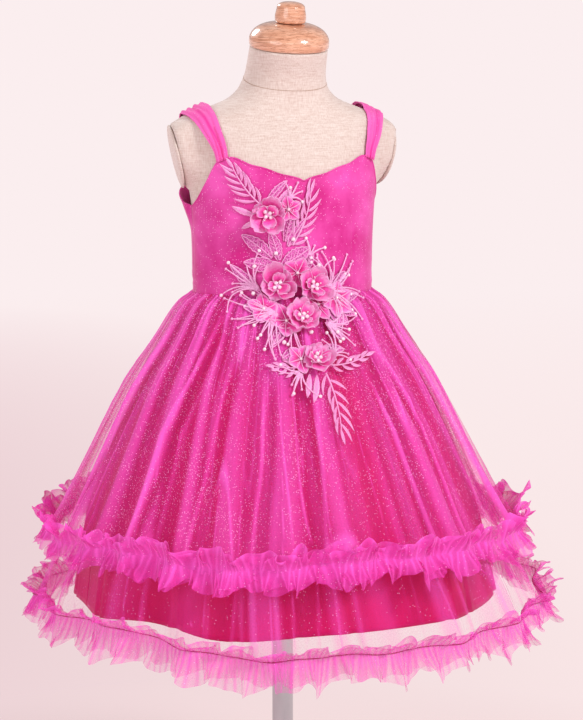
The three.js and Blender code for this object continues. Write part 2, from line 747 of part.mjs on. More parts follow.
// Pointed leaf with a raised middle vein
function makeLeaf(leaf) {
  const stations = [0.06, 0.3, 0.6, 0.85];
  const flat = [flatPlace(leaf, 0, 0)];
  const faces = [];
  for (const share of stations) {
    const half = (leaf.width / 2) * Math.sin(Math.PI * share ** 0.8);
    flat.push(flatPlace(leaf, share * leaf.length, half));
    flat.push(flatPlace(leaf, share * leaf.length, 0, 1));
    flat.push(flatPlace(leaf, share * leaf.length, -half));
  }
  flat.push(flatPlace(leaf, leaf.length, 0));
  faces.push([0, 2, 1], [0, 3, 2]);
  for (let i = 0; i < stations.length - 1; i += 1) {
    const a = 1 + i * 3;
    faces.push([a, a + 1, a + 4], [a, a + 4, a + 3], [a + 1, a + 2, a + 5], [a + 1, a + 5, a + 4]);
  }
  const last = 1 + (stations.length - 1) * 3;
  faces.push([last, last + 1, last + 3], [last + 1, last + 2, last + 3]);
  return layPiece(flat, faces);
}

// Frond: a tapering stem with a pointed leaflet on each side of every joint
function makeFrond(frond) {
  const flat = [];
  const faces = [];
  const joint = frond.length / (frond.pairs + 0.6);
  for (let i = 0; i <= frond.pairs; i += 1) {
    const stem = 0.9 + 0.7 * (1 - i / frond.pairs);
    flat.push(flatPlace(frond, i * joint, stem), flatPlace(frond, i * joint, -stem));
  }
  const tip = flat.length;
  flat.push(flatPlace(frond, frond.length, 0));
  for (let i = 0; i < frond.pairs; i += 1) {
    const a = i * 2;
    faces.push([a, a + 1, a + 3], [a, a + 3, a + 2]);
    const reach = (frond.width / 2) * Math.sin(Math.PI * (0.3 + (0.62 * i) / frond.pairs));
    for (const side of [1, -1]) {
      const low = side > 0 ? a : a + 1;
      const middle = flat.length;
      flat.push(flatPlace(frond, (i + 0.55) * joint, side * reach * 0.62, 0.3));
      flat.push(flatPlace(frond, (i + 1.2) * joint, side * reach * 0.55, 0.3));
      flat.push(flatPlace(frond, (i + 1.5) * joint, side * reach));
      const top = middle + 1;
      const leaflet = [[low, low + 2, top], [low, top, middle], [middle, top, middle + 2]];
      for (const [p, q, r] of leaflet) faces.push(side > 0 ? [p, q, r] : [p, r, q]);
    }
  }
  const a = frond.pairs * 2;
  faces.push([a, a + 1, tip]);
  return layPiece(flat, faces);
}

// Spray of narrow stamens fanned out from one foot
function makeSpray(spray) {
  const flat = [];
  const faces = [];
  const footRadius = 4.5;
  const strand = (i) => spray.heading + spray.spread * (i / (spray.strands - 1) - 0.5);
  const slice = spray.spread / (spray.strands - 1);
  const arm = (heading) => ({ x: spray.x, z: spray.z, heading });
  for (let i = 0; i <= spray.strands; i += 1) {
    flat.push(flatPlace(arm(strand(i) - slice / 2), footRadius, 0));
  }
  const foot = flat.length;
  flat.push(flatPlace(arm(spray.heading + 180), 1.5, 0));
  for (let i = 0; i < spray.strands; i += 1) {
    faces.push([foot, i, i + 1]);
    const uneven = 0.8 + 0.2 * Math.cos(i * 2.3);
    const reach = spray.length * uneven;
    const base = flat.length;
    flat.push(flatPlace(arm(strand(i)), reach * 0.5, -1), flatPlace(arm(strand(i)), reach * 0.5, 1));
    flat.push(flatPlace(arm(strand(i)), reach * 0.94, -1), flatPlace(arm(strand(i)), reach * 0.94, 1));
    flat.push(flatPlace(arm(strand(i)), reach, 0));
    faces.push([i, base, base + 1], [i, base + 1, i + 1]);
    faces.push([base, base + 2, base + 3], [base, base + 3, base + 1], [base + 2, base + 4, base + 3]);
  }
  return layPiece(flat, faces);
}

function toSolid(geometry) {
  const plain = geometry.clone();
  plain.deleteAttribute('normal');
  plain.deleteAttribute('uv');
  const merged = mergeVertices(plain, 1e-4);
  return new wasm.Manifold(new wasm.Mesh({
    numProp: 3,
    vertProperties: new Float32Array(merged.attributes.position.array),
    triVerts: new Uint32Array(merged.index.array),
  }));
}

function toGeometry(solid) {
  const mesh = solid.getMesh();
  const geometry = new THREE.BufferGeometry();
  geometry.setAttribute('position', new THREE.BufferAttribute(mesh.vertProperties, mesh.numProp));
  geometry.setIndex(new THREE.BufferAttribute(mesh.triVerts, 1));
  return geometry;
}

// Flower of five cupped petals on a short stalk that stands on the cloth
function makeFlower(flower) {
  const normal = bedNormal(flower.x, flower.z);
  const right = new THREE.Vector3(1, 0, 0).addScaledVector(normal, -normal.x).normalize();
  const up = new THREE.Vector3().crossVectors(normal, right).normalize();
  const foot = bedPoint(flower.x, flower.z, 0);
  const place = (across, along, height) => foot.clone()
    .addScaledVector(right, across).addScaledVector(up, along).addScaledVector(normal, height);
  const clear = (point) => {
    const front = bedDepth(point.x, point.z) - petalLift;
    if (point.y > front) point.y = front;
    return point;
  };
  const stations = [
    { along: 0.08, half: 0.05, height: 3.2, round: 0 },
    { along: 0.58, half: 0.38, height: 5, round: 0 },
    { along: 1, half: 0.27, height: 9.5, round: 0.12 },
  ];
  const stalkRadius = 3.4;
  const stalk = new THREE.CylinderGeometry(stalkRadius, stalkRadius, 1, 6).rotateX(Math.PI / 2);
  const spots = stalk.attributes.position;
  for (let i = 0; i < spots.count; i += 1) {
    const spot = place(spots.getX(i), spots.getY(i), spots.getZ(i) > 0 ? 6.4 : 0);
    if (spots.getZ(i) < 0) spot.y = bedDepth(spot.x, spot.z) - 0.5;
    spots.setXYZ(i, spot.x, spot.y, spot.z);
  }
  let solid = toSolid(stalk);
  for (let petal = 0; petal < 5; petal += 1) {
    const heading = radians(flower.turn + petal * 72);
    const outer = [];
    const inner = [];
    for (const station of stations) {
      const lowRow = [];
      const highRow = [];
      for (const side of [-1, 0, 1]) {
        const along = (station.along - Math.abs(side) * station.round) * flower.radius;
        const across = side * station.half * flower.radius;
        const height = station.height + (side === 0 ? 0 : 1.6 * station.along);
        const a = along * Math.cos(heading) - across * Math.sin(heading);
        const b = along * Math.sin(heading) + across * Math.cos(heading);
        const low = clear(place(a, b, height));
        lowRow.push(low);
        highRow.push(low.clone().addScaledVector(normal, petalWall));
      }
      outer.push(highRow);
      inner.push(lowRow);
    }
    solid = solid.add(toSolid(wallBetween(outer, inner)));
  }
  return toGeometry(solid);
}

function addApplique() {
  for (const leaf of leaves) addPart(dress, leaf.name, makeLeaf(leaf), colours.lace, 0.5);
  for (const frond of fronds) addPart(dress, frond.name, makeFrond(frond), colours.lace, 0.5);
  for (const spray of sprays) addPart(dress, spray.name, makeSpray(spray), colours.lace, 0.5);
  for (const flower of flowers) addPart(dress, flower.name, makeFlower(flower), colours.petal, 0.5);
}

addPart(dress, 'form_torso', makeTorso(), colours.linen, 0.85);
addNeckCap();
addArmPlates();
addStand();
addBodice();
addZipPull();
addPart(dress, 'strap_left', makeStrap(-1), colours.tulle, 0.6);
addPart(dress, 'strap_right', makeStrap(1), colours.tulle, 0.6);
addSkirts();
addApplique();

export default dress;
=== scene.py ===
import math
import bpy
from mathutils import Matrix, Vector, noise


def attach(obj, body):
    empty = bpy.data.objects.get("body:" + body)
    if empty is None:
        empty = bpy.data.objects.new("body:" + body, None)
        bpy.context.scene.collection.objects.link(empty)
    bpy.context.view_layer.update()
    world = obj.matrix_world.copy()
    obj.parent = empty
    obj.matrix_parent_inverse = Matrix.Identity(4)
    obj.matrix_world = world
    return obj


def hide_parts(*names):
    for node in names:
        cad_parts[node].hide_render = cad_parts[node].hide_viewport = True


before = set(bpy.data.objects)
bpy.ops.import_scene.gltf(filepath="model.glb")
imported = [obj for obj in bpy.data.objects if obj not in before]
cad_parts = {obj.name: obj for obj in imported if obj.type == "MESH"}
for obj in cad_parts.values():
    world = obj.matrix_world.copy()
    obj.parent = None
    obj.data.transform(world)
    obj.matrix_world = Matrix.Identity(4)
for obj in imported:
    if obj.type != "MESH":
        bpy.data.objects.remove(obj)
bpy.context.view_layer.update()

mm = 0.001

# The dress front faces -Y. Angles round the body are in degrees from centre front, +X is 90.

photo = {
    "azimuth": -19.0,      # camera stands to the left of centre front
    "distance": 2.5,
    "eyeHeight": 0.860,
    "aimHeight": 0.5355,
    "aimAcross": 0.0093,
    "lens": 121.4,
    "sensor": 36.0,
}


def placeCamera():
    turn = math.radians(photo["azimuth"])
    toward = Vector((math.sin(turn), -math.cos(turn), 0))
    across = Vector((math.cos(turn), math.sin(turn), 0))
    eye = toward * photo["distance"] + Vector((0, 0, photo["eyeHeight"]))
    aim = across * photo["aimAcross"] + Vector((0, 0, photo["aimHeight"]))
    eye = eye + across * photo["aimAcross"]
    data = bpy.data.cameras.new("studioCamera")
    data.lens = photo["lens"]
    data.sensor_width = photo["sensor"]
    camera = bpy.data.objects.new("studioCamera", data)
    bpy.context.scene.collection.objects.link(camera)
    camera.location = eye
    camera.rotation_euler = (aim - eye).to_track_quat("-Z", "Y").to_euler()
    bpy.context.scene.camera = camera


placeCamera()
print("camera placed")


# Small helpers for numbers

def mix(a, b, share):
    return a + (b - a) * share


def smooth(low, high, value):
    share = min(max((value - low) / (high - low), 0.0), 1.0)
    return share * share * (3 - 2 * share)


def readCurve(table, place, column):
    # cubic through the rows of a table whose first column rises or falls
    rows = table["rows"]
    index = table["columns"].index(column)
    falling = rows[0][0] > rows[-1][0]
    i = 0
    while i < len(rows) - 2 and (place < rows[i + 1][0] if falling else place > rows[i + 1][0]):
        i += 1
    span = rows[i + 1][0] - rows[i][0]
    share = min(max((place - rows[i][0]) / span, 0.0), 1.0)

    def slope(k):
        if k == 0 or k == len(rows) - 1:
            near = min(k, len(rows) - 2)
            return (rows[near + 1][index] - rows[near][index]) / (rows[near + 1][0] - rows[near][0])
        before = (rows[k][index] - rows[k - 1][index]) / (rows[k][0] - rows[k - 1][0])
        after = (rows[k + 1][index] - rows[k][index]) / (rows[k + 1][0] - rows[k][0])
        return 0 if before * after <= 0 else 2 * before * after / (before + after)

    a, b = rows[i][index], rows[i + 1][index]
    m, n = slope(i) * span, slope(i + 1) * span
    t = share
    return ((2 * t**3 - 3 * t**2 + 1) * a + (t**3 - 2 * t**2 + t) * m
            + (3 * t**2 - 2 * t**3) * b + (t**3 - t**2) * n)


def tableRows(table):
    for row in table["rows"]:
        yield dict(zip(table["columns"], row))


def turnBetween(first, second):
    # degrees from one angle to another, the short way round
    return (second - first + 180) % 360 - 180


def wobble(value, seed):
    # smooth uneven value between about -1 and 1 along a line
    return noise.noise(Vector((value, seed * 7.31, 0.5)))


def wobbleRound(angle, times, seed):
    # the same round a circle, so that the ends meet
    turn = math.radians(angle)
    return noise.noise(Vector((math.cos(turn) * times, math.sin(turn) * times, seed * 7.31)))


# Shader maths: one wrapped socket with its operators, and one board that adds every other node

class Wire:
    def __init__(self, board, socket):
        self.board = board
        self.socket = socket

    def maths(self, operation, other, swapped=False):
        first, second = (other, self) if swapped else (self, other)
        return self.board.add("ShaderNodeMath", {"operation": operation}, {0: first, 1: second})

    def __add__(self, other):
        return self.maths("ADD", other)

    def __sub__(self, other):
        return self.maths("SUBTRACT", other)

    def __rsub__(self, other):
        return self.maths("SUBTRACT", other, True)

    def __mul__(self, other):
        return self.maths("MULTIPLY", other)

    def __pow__(self, other):
        return self.maths("POWER", other)

    __radd__ = __add__
    __rmul__ = __mul__

    def above(self, level):
        return self.maths("GREATER_THAN", level)

    def below(self, level):
        return self.maths("LESS_THAN", level)


class Board:
    def __init__(self, name):
        self.material = bpy.data.materials.new(name)
        self.material.use_nodes = True
        self.tree = self.material.node_tree
        self.shader = next(n for n in self.tree.nodes if n.type == "BSDF_PRINCIPLED")

    def add(self, kind, settings=None, sockets=None, output=0):
        node = self.tree.nodes.new(kind)
        for key, value in (settings or {}).items():
            if key == "stops":
                setStops(node.color_ramp, value)
            else:
                setattr(node, key, value)
        for key, value in (sockets or {}).items():
            self.feed(node.inputs[key], value)
        return Wire(self, node.outputs[output])

    def feed(self, socket, value):
        if isinstance(value, Wire):
            self.tree.links.new(value.socket, socket)
        else:
            socket.default_value = value

    def surface(self, **values):
        # constants and links for the shader's own sockets, spaces written as underscores
        for key, value in values.items():
            self.feed(self.shader.inputs[key.replace("_", " ")], value)

    def places(self):
        return self.add("ShaderNodeTexCoord", output="Object")

    def cloud(self, scale, detail=3.0, rough=0.55):
        # soft noise over the piece, drawn out where it is given a scale for each axis
        spot = self.places()
        if isinstance(scale, tuple):
            spot, scale = self.add("ShaderNodeMapping", {}, {"Vector": spot, "Scale": scale}), 1.0
        sockets = {"Vector": spot, "Scale": scale, "Detail": detail, "Roughness": rough}
        return self.add("ShaderNodeTexNoise", {}, sockets, "Fac")

    def ramp(self, value, stops):
        return self.add("ShaderNodeValToRGB", {"stops": stops}, {"Fac": value})

    def tint(self, share, first, second):
        return self.add("ShaderNodeMix", {"data_type": "RGBA"}, {0: share, 6: first, 7: second}, 2)

    def span(self, value, low, high, first, last):
        ends = {"Value": value, "From Min": low, "From Max": high, "To Min": first, "To Max": last}
        return self.add("ShaderNodeMapRange", {"clamp": True}, ends)

    def dot(self, vector, other):
        return self.add("ShaderNodeVectorMath", {"operation": "DOT_PRODUCT"}, {0: vector, 1: other}, "Value")

    def stored(self, name):
        return self.add("ShaderNodeAttribute", {"attribute_name": name}, {}, "Fac")

    def relief(self, height, strength, distance):
        sockets = {"Height": height, "Strength": strength, "Distance": distance}
        return self.add("ShaderNodeBump", {}, sockets)


def setStops(ramp, stops):
    while len(ramp.elements) < len(stops):
        ramp.elements.new(0.5)
    for element, (place, colour) in zip(ramp.elements, stops):
        element.position = place
        element.color = colour


def colour(red, green, blue):
    # screen colour, 0 to 255, as the linear one that the shader works in
    def linear(value):
        value /= 255
        return value / 12.92 if value <= 0.04045 else ((value + 0.055) / 1.055) ** 2.4
    return (linear(red), linear(green), linear(blue), 1.0)


glitter = {
    "spacing": 0.0016,          # size of a cell, which may hold one speck
    "driftScale": 13,
    "sparse": 0.35,             # times the mean share, between the drifts and in them
    "dense": 1.5,
    "tint": colour(254, 178, 234),
}


def glitterMask(board, share, size):
    # round specks strewn in drifts: the share of cells that hold one, and its radius in cells
    cells = {"Vector": board.places(), "Scale": 1 / glitter["spacing"]}
    distance = board.add("ShaderNodeTexVoronoi", {"feature": "F1"}, cells, "Distance")
    chance = board.add("ShaderNodeTexVoronoi", {"feature": "F1"}, cells, "Color")
    pick = board.add("ShaderNodeSeparateColor", {}, {0: chance}, 0)
    drift = board.cloud(glitter["driftScale"])
    some = board.span(drift, 0.4, 0.62, share * glitter["sparse"], share * glitter["dense"])
    return distance.below(size) * pick.above(1 - some)


# Colours and finishes of every surface

cloth = {
    "satin": colour(240, 86, 186),
    "satinDeep": colour(206, 22, 132),
    "tulle": colour(252, 106, 216),
    "tulleDeep": colour(246, 44, 166),
    "frill": colour(250, 104, 216),
    "frillDeep": colour(240, 54, 176),
    "strap": colour(250, 124, 204),
    "strapDeep": colour(236, 48, 156),
    "lining": colour(220, 4, 102),
    "liningDeep": colour(176, 0, 68),
    "lace": colour(252, 184, 232),
    "laceDeep": colour(236, 118, 200),
    "mesh": colour(236, 128, 204),
    "meshDeep": colour(186, 30, 136),
    "petalRim": colour(252, 172, 226),
    "petal": colour(246, 78, 182),
    "petalMiddle": colour(216, 24, 132),
    "petalDeep": colour(170, 4, 96),
    "stitch": colour(168, 16, 96),
}


def satinFinish():
    board = Board("glitterSatin")
    patch = board.span(board.cloud(16, 5, 0.6), 0.34, 0.66, 0.0, 1.0)
    base = board.tint(patch, cloth["satinDeep"], cloth["satin"])
    specks = glitterMask(board, 0.36, 0.23)
    weave = board.cloud((900, 900, 500), 2)
    board.surface(
        Base_Color=board.tint(specks, base, glitter["tint"]),
        Roughness=0.62 - specks * 0.3,
        Normal=board.relief(weave + specks, 0.25, 0.0003),
        Sheen_Weight=0.35, Sheen_Roughness=0.4, Specular_IOR_Level=0.3,
    )
    return board.material


nets = {
    "columns": ["key", "name", "light", "deep", "thin", "thick", "specks"],
    "rows": [
        ("upper", "upperTulle", "tulle", "tulleDeep", 0.14, 0.84, 0.42),
        ("lower", "lowerTulle", "tulle", "tulleDeep", 0.08, 0.52, 0.1),
        ("frill", "frillTulle", "frill", "frillDeep", 0.4, 0.98, 0.1),
        ("frillSheer", "sheerFrillTulle", "frill", "frillDeep", 0.22, 0.85, 0.05),
        ("strap", "strapTulle", "strap", "strapDeep", 0.95, 1.1, 0.15),
    ],
}


def tulleFinish(net):
    # fine net, clear where it lies single and paler and closer where its folds lie over each other; its stored
    # cover also carries painted highlight on fold crests and lit ridges and painted shade in the valleys,
    # deeper there
    board = Board(net["name"])
    gather = board.stored("gather")
    patch = board.cloud(25, 4)
    base = board.tint((1 - gather) * 0.7 + patch * 0.3, cloth[net["light"]], cloth[net["deep"]])
    specks = glitterMask(board, net["specks"], 0.25)
    weave = board.cloud(700, 1)
    cover = gather * (net["thick"] - net["thin"]) + net["thin"] + (weave - 0.5) * 0.25
    board.surface(
        Base_Color=board.tint(specks, base, glitter["tint"]),
        Roughness=0.7 - specks * 0.35,
        Alpha=cover + specks * 0.6,
        Normal=board.relief(weave, 0.2, 0.0002),
        Sheen_Weight=0.12, Sheen_Roughness=0.5, Specular_IOR_Level=0.1,
    )
    return board.material


def stitchFinish():
    board = Board("stitching")
    twist = board.cloud(900, 2)
    board.surface(
        Base_Color=board.tint(twist, cloth["stitch"], cloth["liningDeep"]),
        Roughness=0.6,
        Normal=board.relief(twist, 0.4, 0.0002),
    )
    return board.material


def liningFinish():
    board = Board("liningSatin")
    # darker lengthwise streaks that stand for fold valleys: painted shade
    folds = board.cloud((14, 14, 3), 4)
    board.surface(
        Base_Color=board.tint(folds, cloth["liningDeep"], cloth["lining"]),
        Roughness=0.5,
        Normal=board.relief(board.cloud(700, 2), 0.12, 0.0002),
        Sheen_Weight=0.05, Specular_IOR_Level=0.2,
    )
    return board.material


def laceFinish():
    # close embroidery: fine threads across the motif, darker towards its foot
    board = Board("embroideredLace")
    thread = board.cloud((1500, 600, 1500), 2)
    base = board.tint(board.stored("rim"), cloth["laceDeep"], cloth["lace"])
    board.surface(
        Base_Color=board.tint(thread.below(0.42) * 0.45, base, cloth["meshDeep"]),
        Roughness=0.42,
        Normal=board.relief(thread, 0.6, 0.0006),
        Sheen_Weight=0.3, Specular_IOR_Level=0.5,
    )
    return board.material


def meshFinish():
    # the open embroidered ground inside a leaf: dark net crossed by pale threads
    board = Board("leafMesh")
    thread = board.cloud((900, 500, 900), 2)
    board.surface(
        Base_Color=board.tint(board.span(thread, 0.44, 0.56, 0.0, 1.0), cloth["meshDeep"], cloth["mesh"]),
        Roughness=0.5,
        Normal=board.relief(thread, 0.6, 0.0006),
        Sheen_Weight=0.3,
    )
    return board.material


def petalFinish():
    # crisp organza, deep at the heart and paler at the rim
    board = Board("organzaPetal")
    fleck = board.cloud(420, 3)
    tone = board.ramp(board.stored("rim") + (fleck - 0.5) * 0.45, [
        (0.0, cloth["petalDeep"]), (0.25, cloth["petalMiddle"]),
        (0.55, cloth["petal"]), (0.9, cloth["petalRim"])])
    board.surface(
        Base_Color=tone,
        Roughness=0.38 + fleck * 0.2,
        Normal=board.relief(fleck, 0.35, 0.0004),
        Sheen_Weight=0.4, Specular_IOR_Level=0.5,
    )
    return board.material


def cordFinish():
    board = Board("edgeCord")
    twist = board.cloud(1600, 2)
    board.surface(
        Base_Color=board.tint(twist, cloth["laceDeep"], colour(255, 206, 242)),
        Roughness=0.4,
        Normal=board.relief(twist, 0.5, 0.0003),
        Sheen_Weight=0.3,
    )
    return board.material


def pearlFinish():
    board = Board("pearl")
    bloom = board.cloud(160, 2)
    board.surface(
        Base_Color=board.tint(bloom, colour(250, 214, 232), colour(255, 242, 248)),
        Roughness=0.16 + bloom * 0.1,
        Coat_Weight=0.7, Coat_Roughness=0.08, Specular_IOR_Level=0.6,
    )
    return board.material


def linenFinish():
    # plain weave with slubs both ways
    board = Board("linen")
    across = board.cloud((90, 90, 1300), 3)
    upward = board.cloud((1100, 1100, 110), 3)
    weave = across * 0.5 + upward * 0.5
    blotch = board.cloud(6, 3)
    base = board.tint(blotch, colour(204, 182, 174), colour(221, 204, 196))
    threads = board.ramp(weave, [(0.36, colour(200, 172, 160)), (0.5, colour(223, 206, 197)),
                                 (0.66, colour(242, 232, 226))])
    board.surface(
        Base_Color=board.tint(0.62, base, threads),
        Roughness=0.86,
        Normal=board.relief(weave, 0.5, 0.0005),
        Sheen_Weight=0.25, Sheen_Roughness=0.6, Specular_IOR_Level=0.2,
    )
    return board.material


def seamFinish():
    board = Board("seamShade")
    blotch = board.cloud(300, 2)
    board.surface(
        Base_Color=board.tint(blotch, colour(150, 118, 98), colour(196, 166, 146)),
        Roughness=0.9, Specular_IOR_Level=0.1,
    )
    return board.material


def woodFinish():
    board = Board("varnishedWood")
    grain = board.cloud((28, 28, 330), 5, 0.6)
    fine = board.cloud((160, 60, 1600), 3)
    tone = board.ramp(grain, [(0.3, colour(204, 138, 104)), (0.5, colour(230, 170, 138)),
                              (0.7, colour(244, 200, 172))])
    board.surface(
        Base_Color=board.tint(fine.below(0.44) * 0.6, tone, colour(156, 86, 52)),
        Roughness=0.26 + fine * 0.1,
        Coat_Weight=1.0, Coat_Roughness=0.06, Specular_IOR_Level=0.5,
        Normal=board.relief(fine, 0.1, 0.0003),
    )
    return board.material


def chromeFinish():
    board = Board("chrome")
    smudge = board.cloud((30, 30, 8), 4)
    board.surface(
        Base_Color=board.tint(smudge, colour(172, 172, 178), colour(222, 220, 224)),
        Roughness=0.07 + smudge * 0.08,
        Metallic=1.0,
    )
    return board.material


def enamelFinish():
    board = Board("footEnamel")
    peel = board.cloud(260, 2)
    wear = board.cloud(9, 5)
    board.surface(
        Base_Color=board.tint(wear, colour(206, 200, 198), colour(232, 227, 224)),
        Roughness=0.32 + wear * 0.14,
        Normal=board.relief(peel, 0.12, 0.0004),
        Coat_Weight=0.3, Coat_Roughness=0.15,
    )
    return board.material


finish = {
    "satin": satinFinish(),
    "stitch": stitchFinish(),
    "lining": liningFinish(),
    "lace": laceFinish(),
    "mesh": meshFinish(),
    "petal": petalFinish(),
    "cord": cordFinish(),
    "pearl": pearlFinish(),
    "linen": linenFinish(),
    "seam": seamFinish(),
    "wood": woodFinish(),
    "chrome": chromeFinish(),
    "enamel": enamelFinish(),
}
finish.update({net["key"]: tulleFinish(net) for net in tableRows(nets)})
print("finishes made")


# Making meshes

def newObject(name, points, faces, stored=None):
    mesh = bpy.data.meshes.new(name)
    mesh.from_pydata([tuple(p) for p in points], [], faces)
    mesh.validate()
    for key, values in (stored or {}).items():
        layer = mesh.attributes.new(key, "FLOAT", "POINT")
        layer.data.foreach_set("value", values)
    mesh.shade_smooth()
    mesh.update()
    piece = bpy.data.objects.new(name, mesh)
    bpy.context.scene.collection.objects.link(piece)
    return piece


def gridFaces(rows, columns, closed, start=0):
    faces = []
    for r in range(rows - 1):
        for c in range(columns if closed else columns - 1):
            a = start + r * columns + c
            b = start + r * columns + (c + 1) % columns
            faces.append((a, a + columns, b + columns, b))
    return faces


def cappedFaces(rows, around):
    # faces of an upright tube with a flat cap at each end
    faces = [tuple(reversed(face)) for face in gridFaces(rows, around, True)]
    return faces + [tuple(reversed(range(around))), tuple(range((rows - 1) * around, rows * around))]


def addThickness(piece, thickness, offset=-1.0):
    modifier = piece.modifiers.new("thickness", "SOLIDIFY")
    modifier.thickness = thickness
    modifier.offset = offset


def settle(piece, slot, material, *nodes):
    if not piece.data.materials:
        piece.data.materials.append(finish[material])
    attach(piece, "root")
    if nodes:
        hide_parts(*nodes)


class Bundle:
    # gathers many small grids and tubes into one mesh
    def __init__(self):
        self.points = []
        self.faces = []
        self.materials = []
        self.rim = []

    def addGrid(self, rows, closed=False, material=0, rim=None):
        start = len(self.points)
        columns = len(rows[0])
        for r, row in enumerate(rows):
            self.points.extend(row)
            self.rim.extend(rim[r] if rim else [1.0] * columns)
        faces = gridFaces(len(rows), columns, closed, start)
        self.faces.extend(faces)
        self.materials.extend([material] * len(faces))

    def addTube(self, route, radius, sides=5, material=0, taper=None):
        rows = []
        for i, spot in enumerate(route):
            ahead = (route[min(i + 1, len(route) - 1)] - route[max(i - 1, 0)]).normalized()
            side = ahead.cross(Vector((0.31, -0.77, 0.56))).normalized()
            up = side.cross(ahead)
            size = radius * (taper[i] if taper else 1.0)
            ring = []
            for k in range(sides):
                turn = 2 * math.pi * k / sides
                ring.append(spot + side * math.cos(turn) * size + up * math.sin(turn) * size)
            rows.append(ring)
        self.addGrid(rows, True, material)
        self.capRing(rows[0], material, True)
        self.capRing(rows[-1], material, False)

    def capRing(self, ring, material, flipped):
        start = len(self.points)
        self.points.extend(ring)
        self.rim.extend([1.0] * len(ring))
        order = list(range(start, start + len(ring)))
        self.faces.append(tuple(order if flipped else order[::-1]))
        self.materials.append(material)

    def addBead(self, centre, radius, material=0, around=10, high=6):
        rows = []
        for r in range(high + 1):
            tilt = math.pi * (r + 0.02) / (high + 0.04)
            rows.append([centre + Vector((math.sin(tilt) * math.cos(2 * math.pi * k / around),
                                          math.sin(tilt) * math.sin(2 * math.pi * k / around),
                                          math.cos(tilt))) * radius for k in range(around)])
        self.addGrid(rows, True, material)

    def build(self, name, materials):
        piece = newObject(name, self.points, self.faces, {"rim": self.rim})
        for key in materials:
            piece.data.materials.append(finish[key])
        piece.data.polygons.foreach_set("material_index", self.materials)
        return piece


# The dress form

waistLine = 609.7        # height of the skirts' top edge

form = {
    "around": 144,
    "stepsUp": 170,
    "neckFoot": 825,
    "neckTilt": 10.0,
    "shoulder": {"swell": 15, "from": 60, "full": 73, "above": 11, "over": 24, "low": 768, "high": 788},
    "cut": {"x": 111.5, "z": 749, "back": 0.164, "down": 0.231},
    "sections": {
        "columns": ["z", "wide", "deep", "y"],
        "rows": [
            (440, 96, 71, 0), (446, 103, 78, 0), (500, 105, 80, 0), (560, 98, 73, 0), (610, 93.2, 68.2, 0),
            (650, 93.6, 68.6, 0), (696, 95.8, 68.8, 0), (722, 99.5, 67, 0.5), (745, 105, 64, 1),
            (768, 112.5, 58, 2), (780, 113.5, 53, 2), (788, 106, 49.5, 2), (797, 80, 46.5, 1),
            (807, 56, 44.5, 0), (819, 45, 43.5, -3), (834, 41, 41, -10), (857, 39.5, 39.5, -20),
        ],
    },
}


def formSection(z):
    return [readCurve(form["sections"], z, key) for key in ("wide", "deep", "y")]


def formPoint(angle, z, out):
    # a point off the form's skin, square to its oval section
    turn = math.radians(angle)
    wide, deep, centre = formSection(z)
    square = Vector((math.sin(turn) / wide, -math.cos(turn) / deep, 0)).normalized()
    return Vector((wide * math.sin(turn), centre - deep * math.cos(turn), z)) + square * out


bodice = {
    "waist": 608.8,
    "outward": 1.7,
    "thickness": 0.0009,
    "rows": 56,
    "frontTop": {"columns": ["at", "z"], "rows": [
        (0, 724.5), (3.5, 727.5), (14, 732), (22, 737.5), (30, 741), (41, 748.5), (50, 745),
        (56, 736.5), (63.5, 724), (72, 712), (80.5, 703), (90, 697)]},
    "backTop": {"columns": ["at", "z"], "rows": [
        (90, 697), (98, 702), (106, 711), (115, 716.5), (127, 717.5), (141, 717.5), (158, 716.5), (180, 716)]},
    "standOff": {"at": 104, "spread": 17, "most": 9, "low": 668, "high": 712},
    "darts": [{"at": 38, "foot": 610, "tip": 690, "drift": -3},
              {"at": -38, "foot": 610, "tip": 690, "drift": 3}],
    "backSeams": [{"at": 140, "foot": 610, "tip": 716, "drift": -6},
                  {"at": -140, "foot": 610, "tip": 716, "drift": 6}],
    "seamDepth": 0.9,
    "seamSpread": 0.9,       # degrees round the body
    "pipe": 0.9,
}


def bodiceTop(angle):
    size = abs(angle)
    return readCurve(bodice["frontTop"] if size <= 90 else bodice["backTop"], size, "z")


def cutX(y, z):
    # the flat cut that ends each shoulder, a little turned back and down
    cut = form["cut"]
    return cut["x"] - cut["back"] * y + cut["down"] * (z - cut["z"])


def shoulderSwell(angle, z):
    end = form["shoulder"]
    size = abs(turnBetween(0, angle))
    upward = smooth(end["above"], end["above"] + end["over"], z - bodiceTop(size))
    sideways = smooth(end["from"], end["full"], 90 - abs(90 - size))
    return end["swell"] * upward * sideways * (1 - smooth(end["low"], end["high"], z))


def makeTorso():
    low = form["sections"]["rows"][0][0]
    high = form["sections"]["rows"][-1][0]
    points = []
    for r in range(form["stepsUp"] + 1):
        z = mix(low, high, r / form["stepsUp"])
        lean = smooth(form["neckFoot"], high, z) * math.tan(math.radians(form["neckTilt"]))
        centre = readCurve(form["sections"], z, "y")
        for k in range(form["around"]):
            angle = 360 * k / form["around"]
            spot = formPoint(angle, z, 0)
            limit = cutX(spot.y, z)
            wide = spot.x + shoulderSwell(angle, z) * math.sin(math.radians(angle))
            spot.x = min(max(wide, -limit), limit)
            spot.z += (spot.y - centre) * lean
            points.append(spot * mm)
    piece = newObject("linenTorso", points, cappedFaces(form["stepsUp"] + 1, form["around"]))
    settle(piece, "linen", "linen", "form_torso")


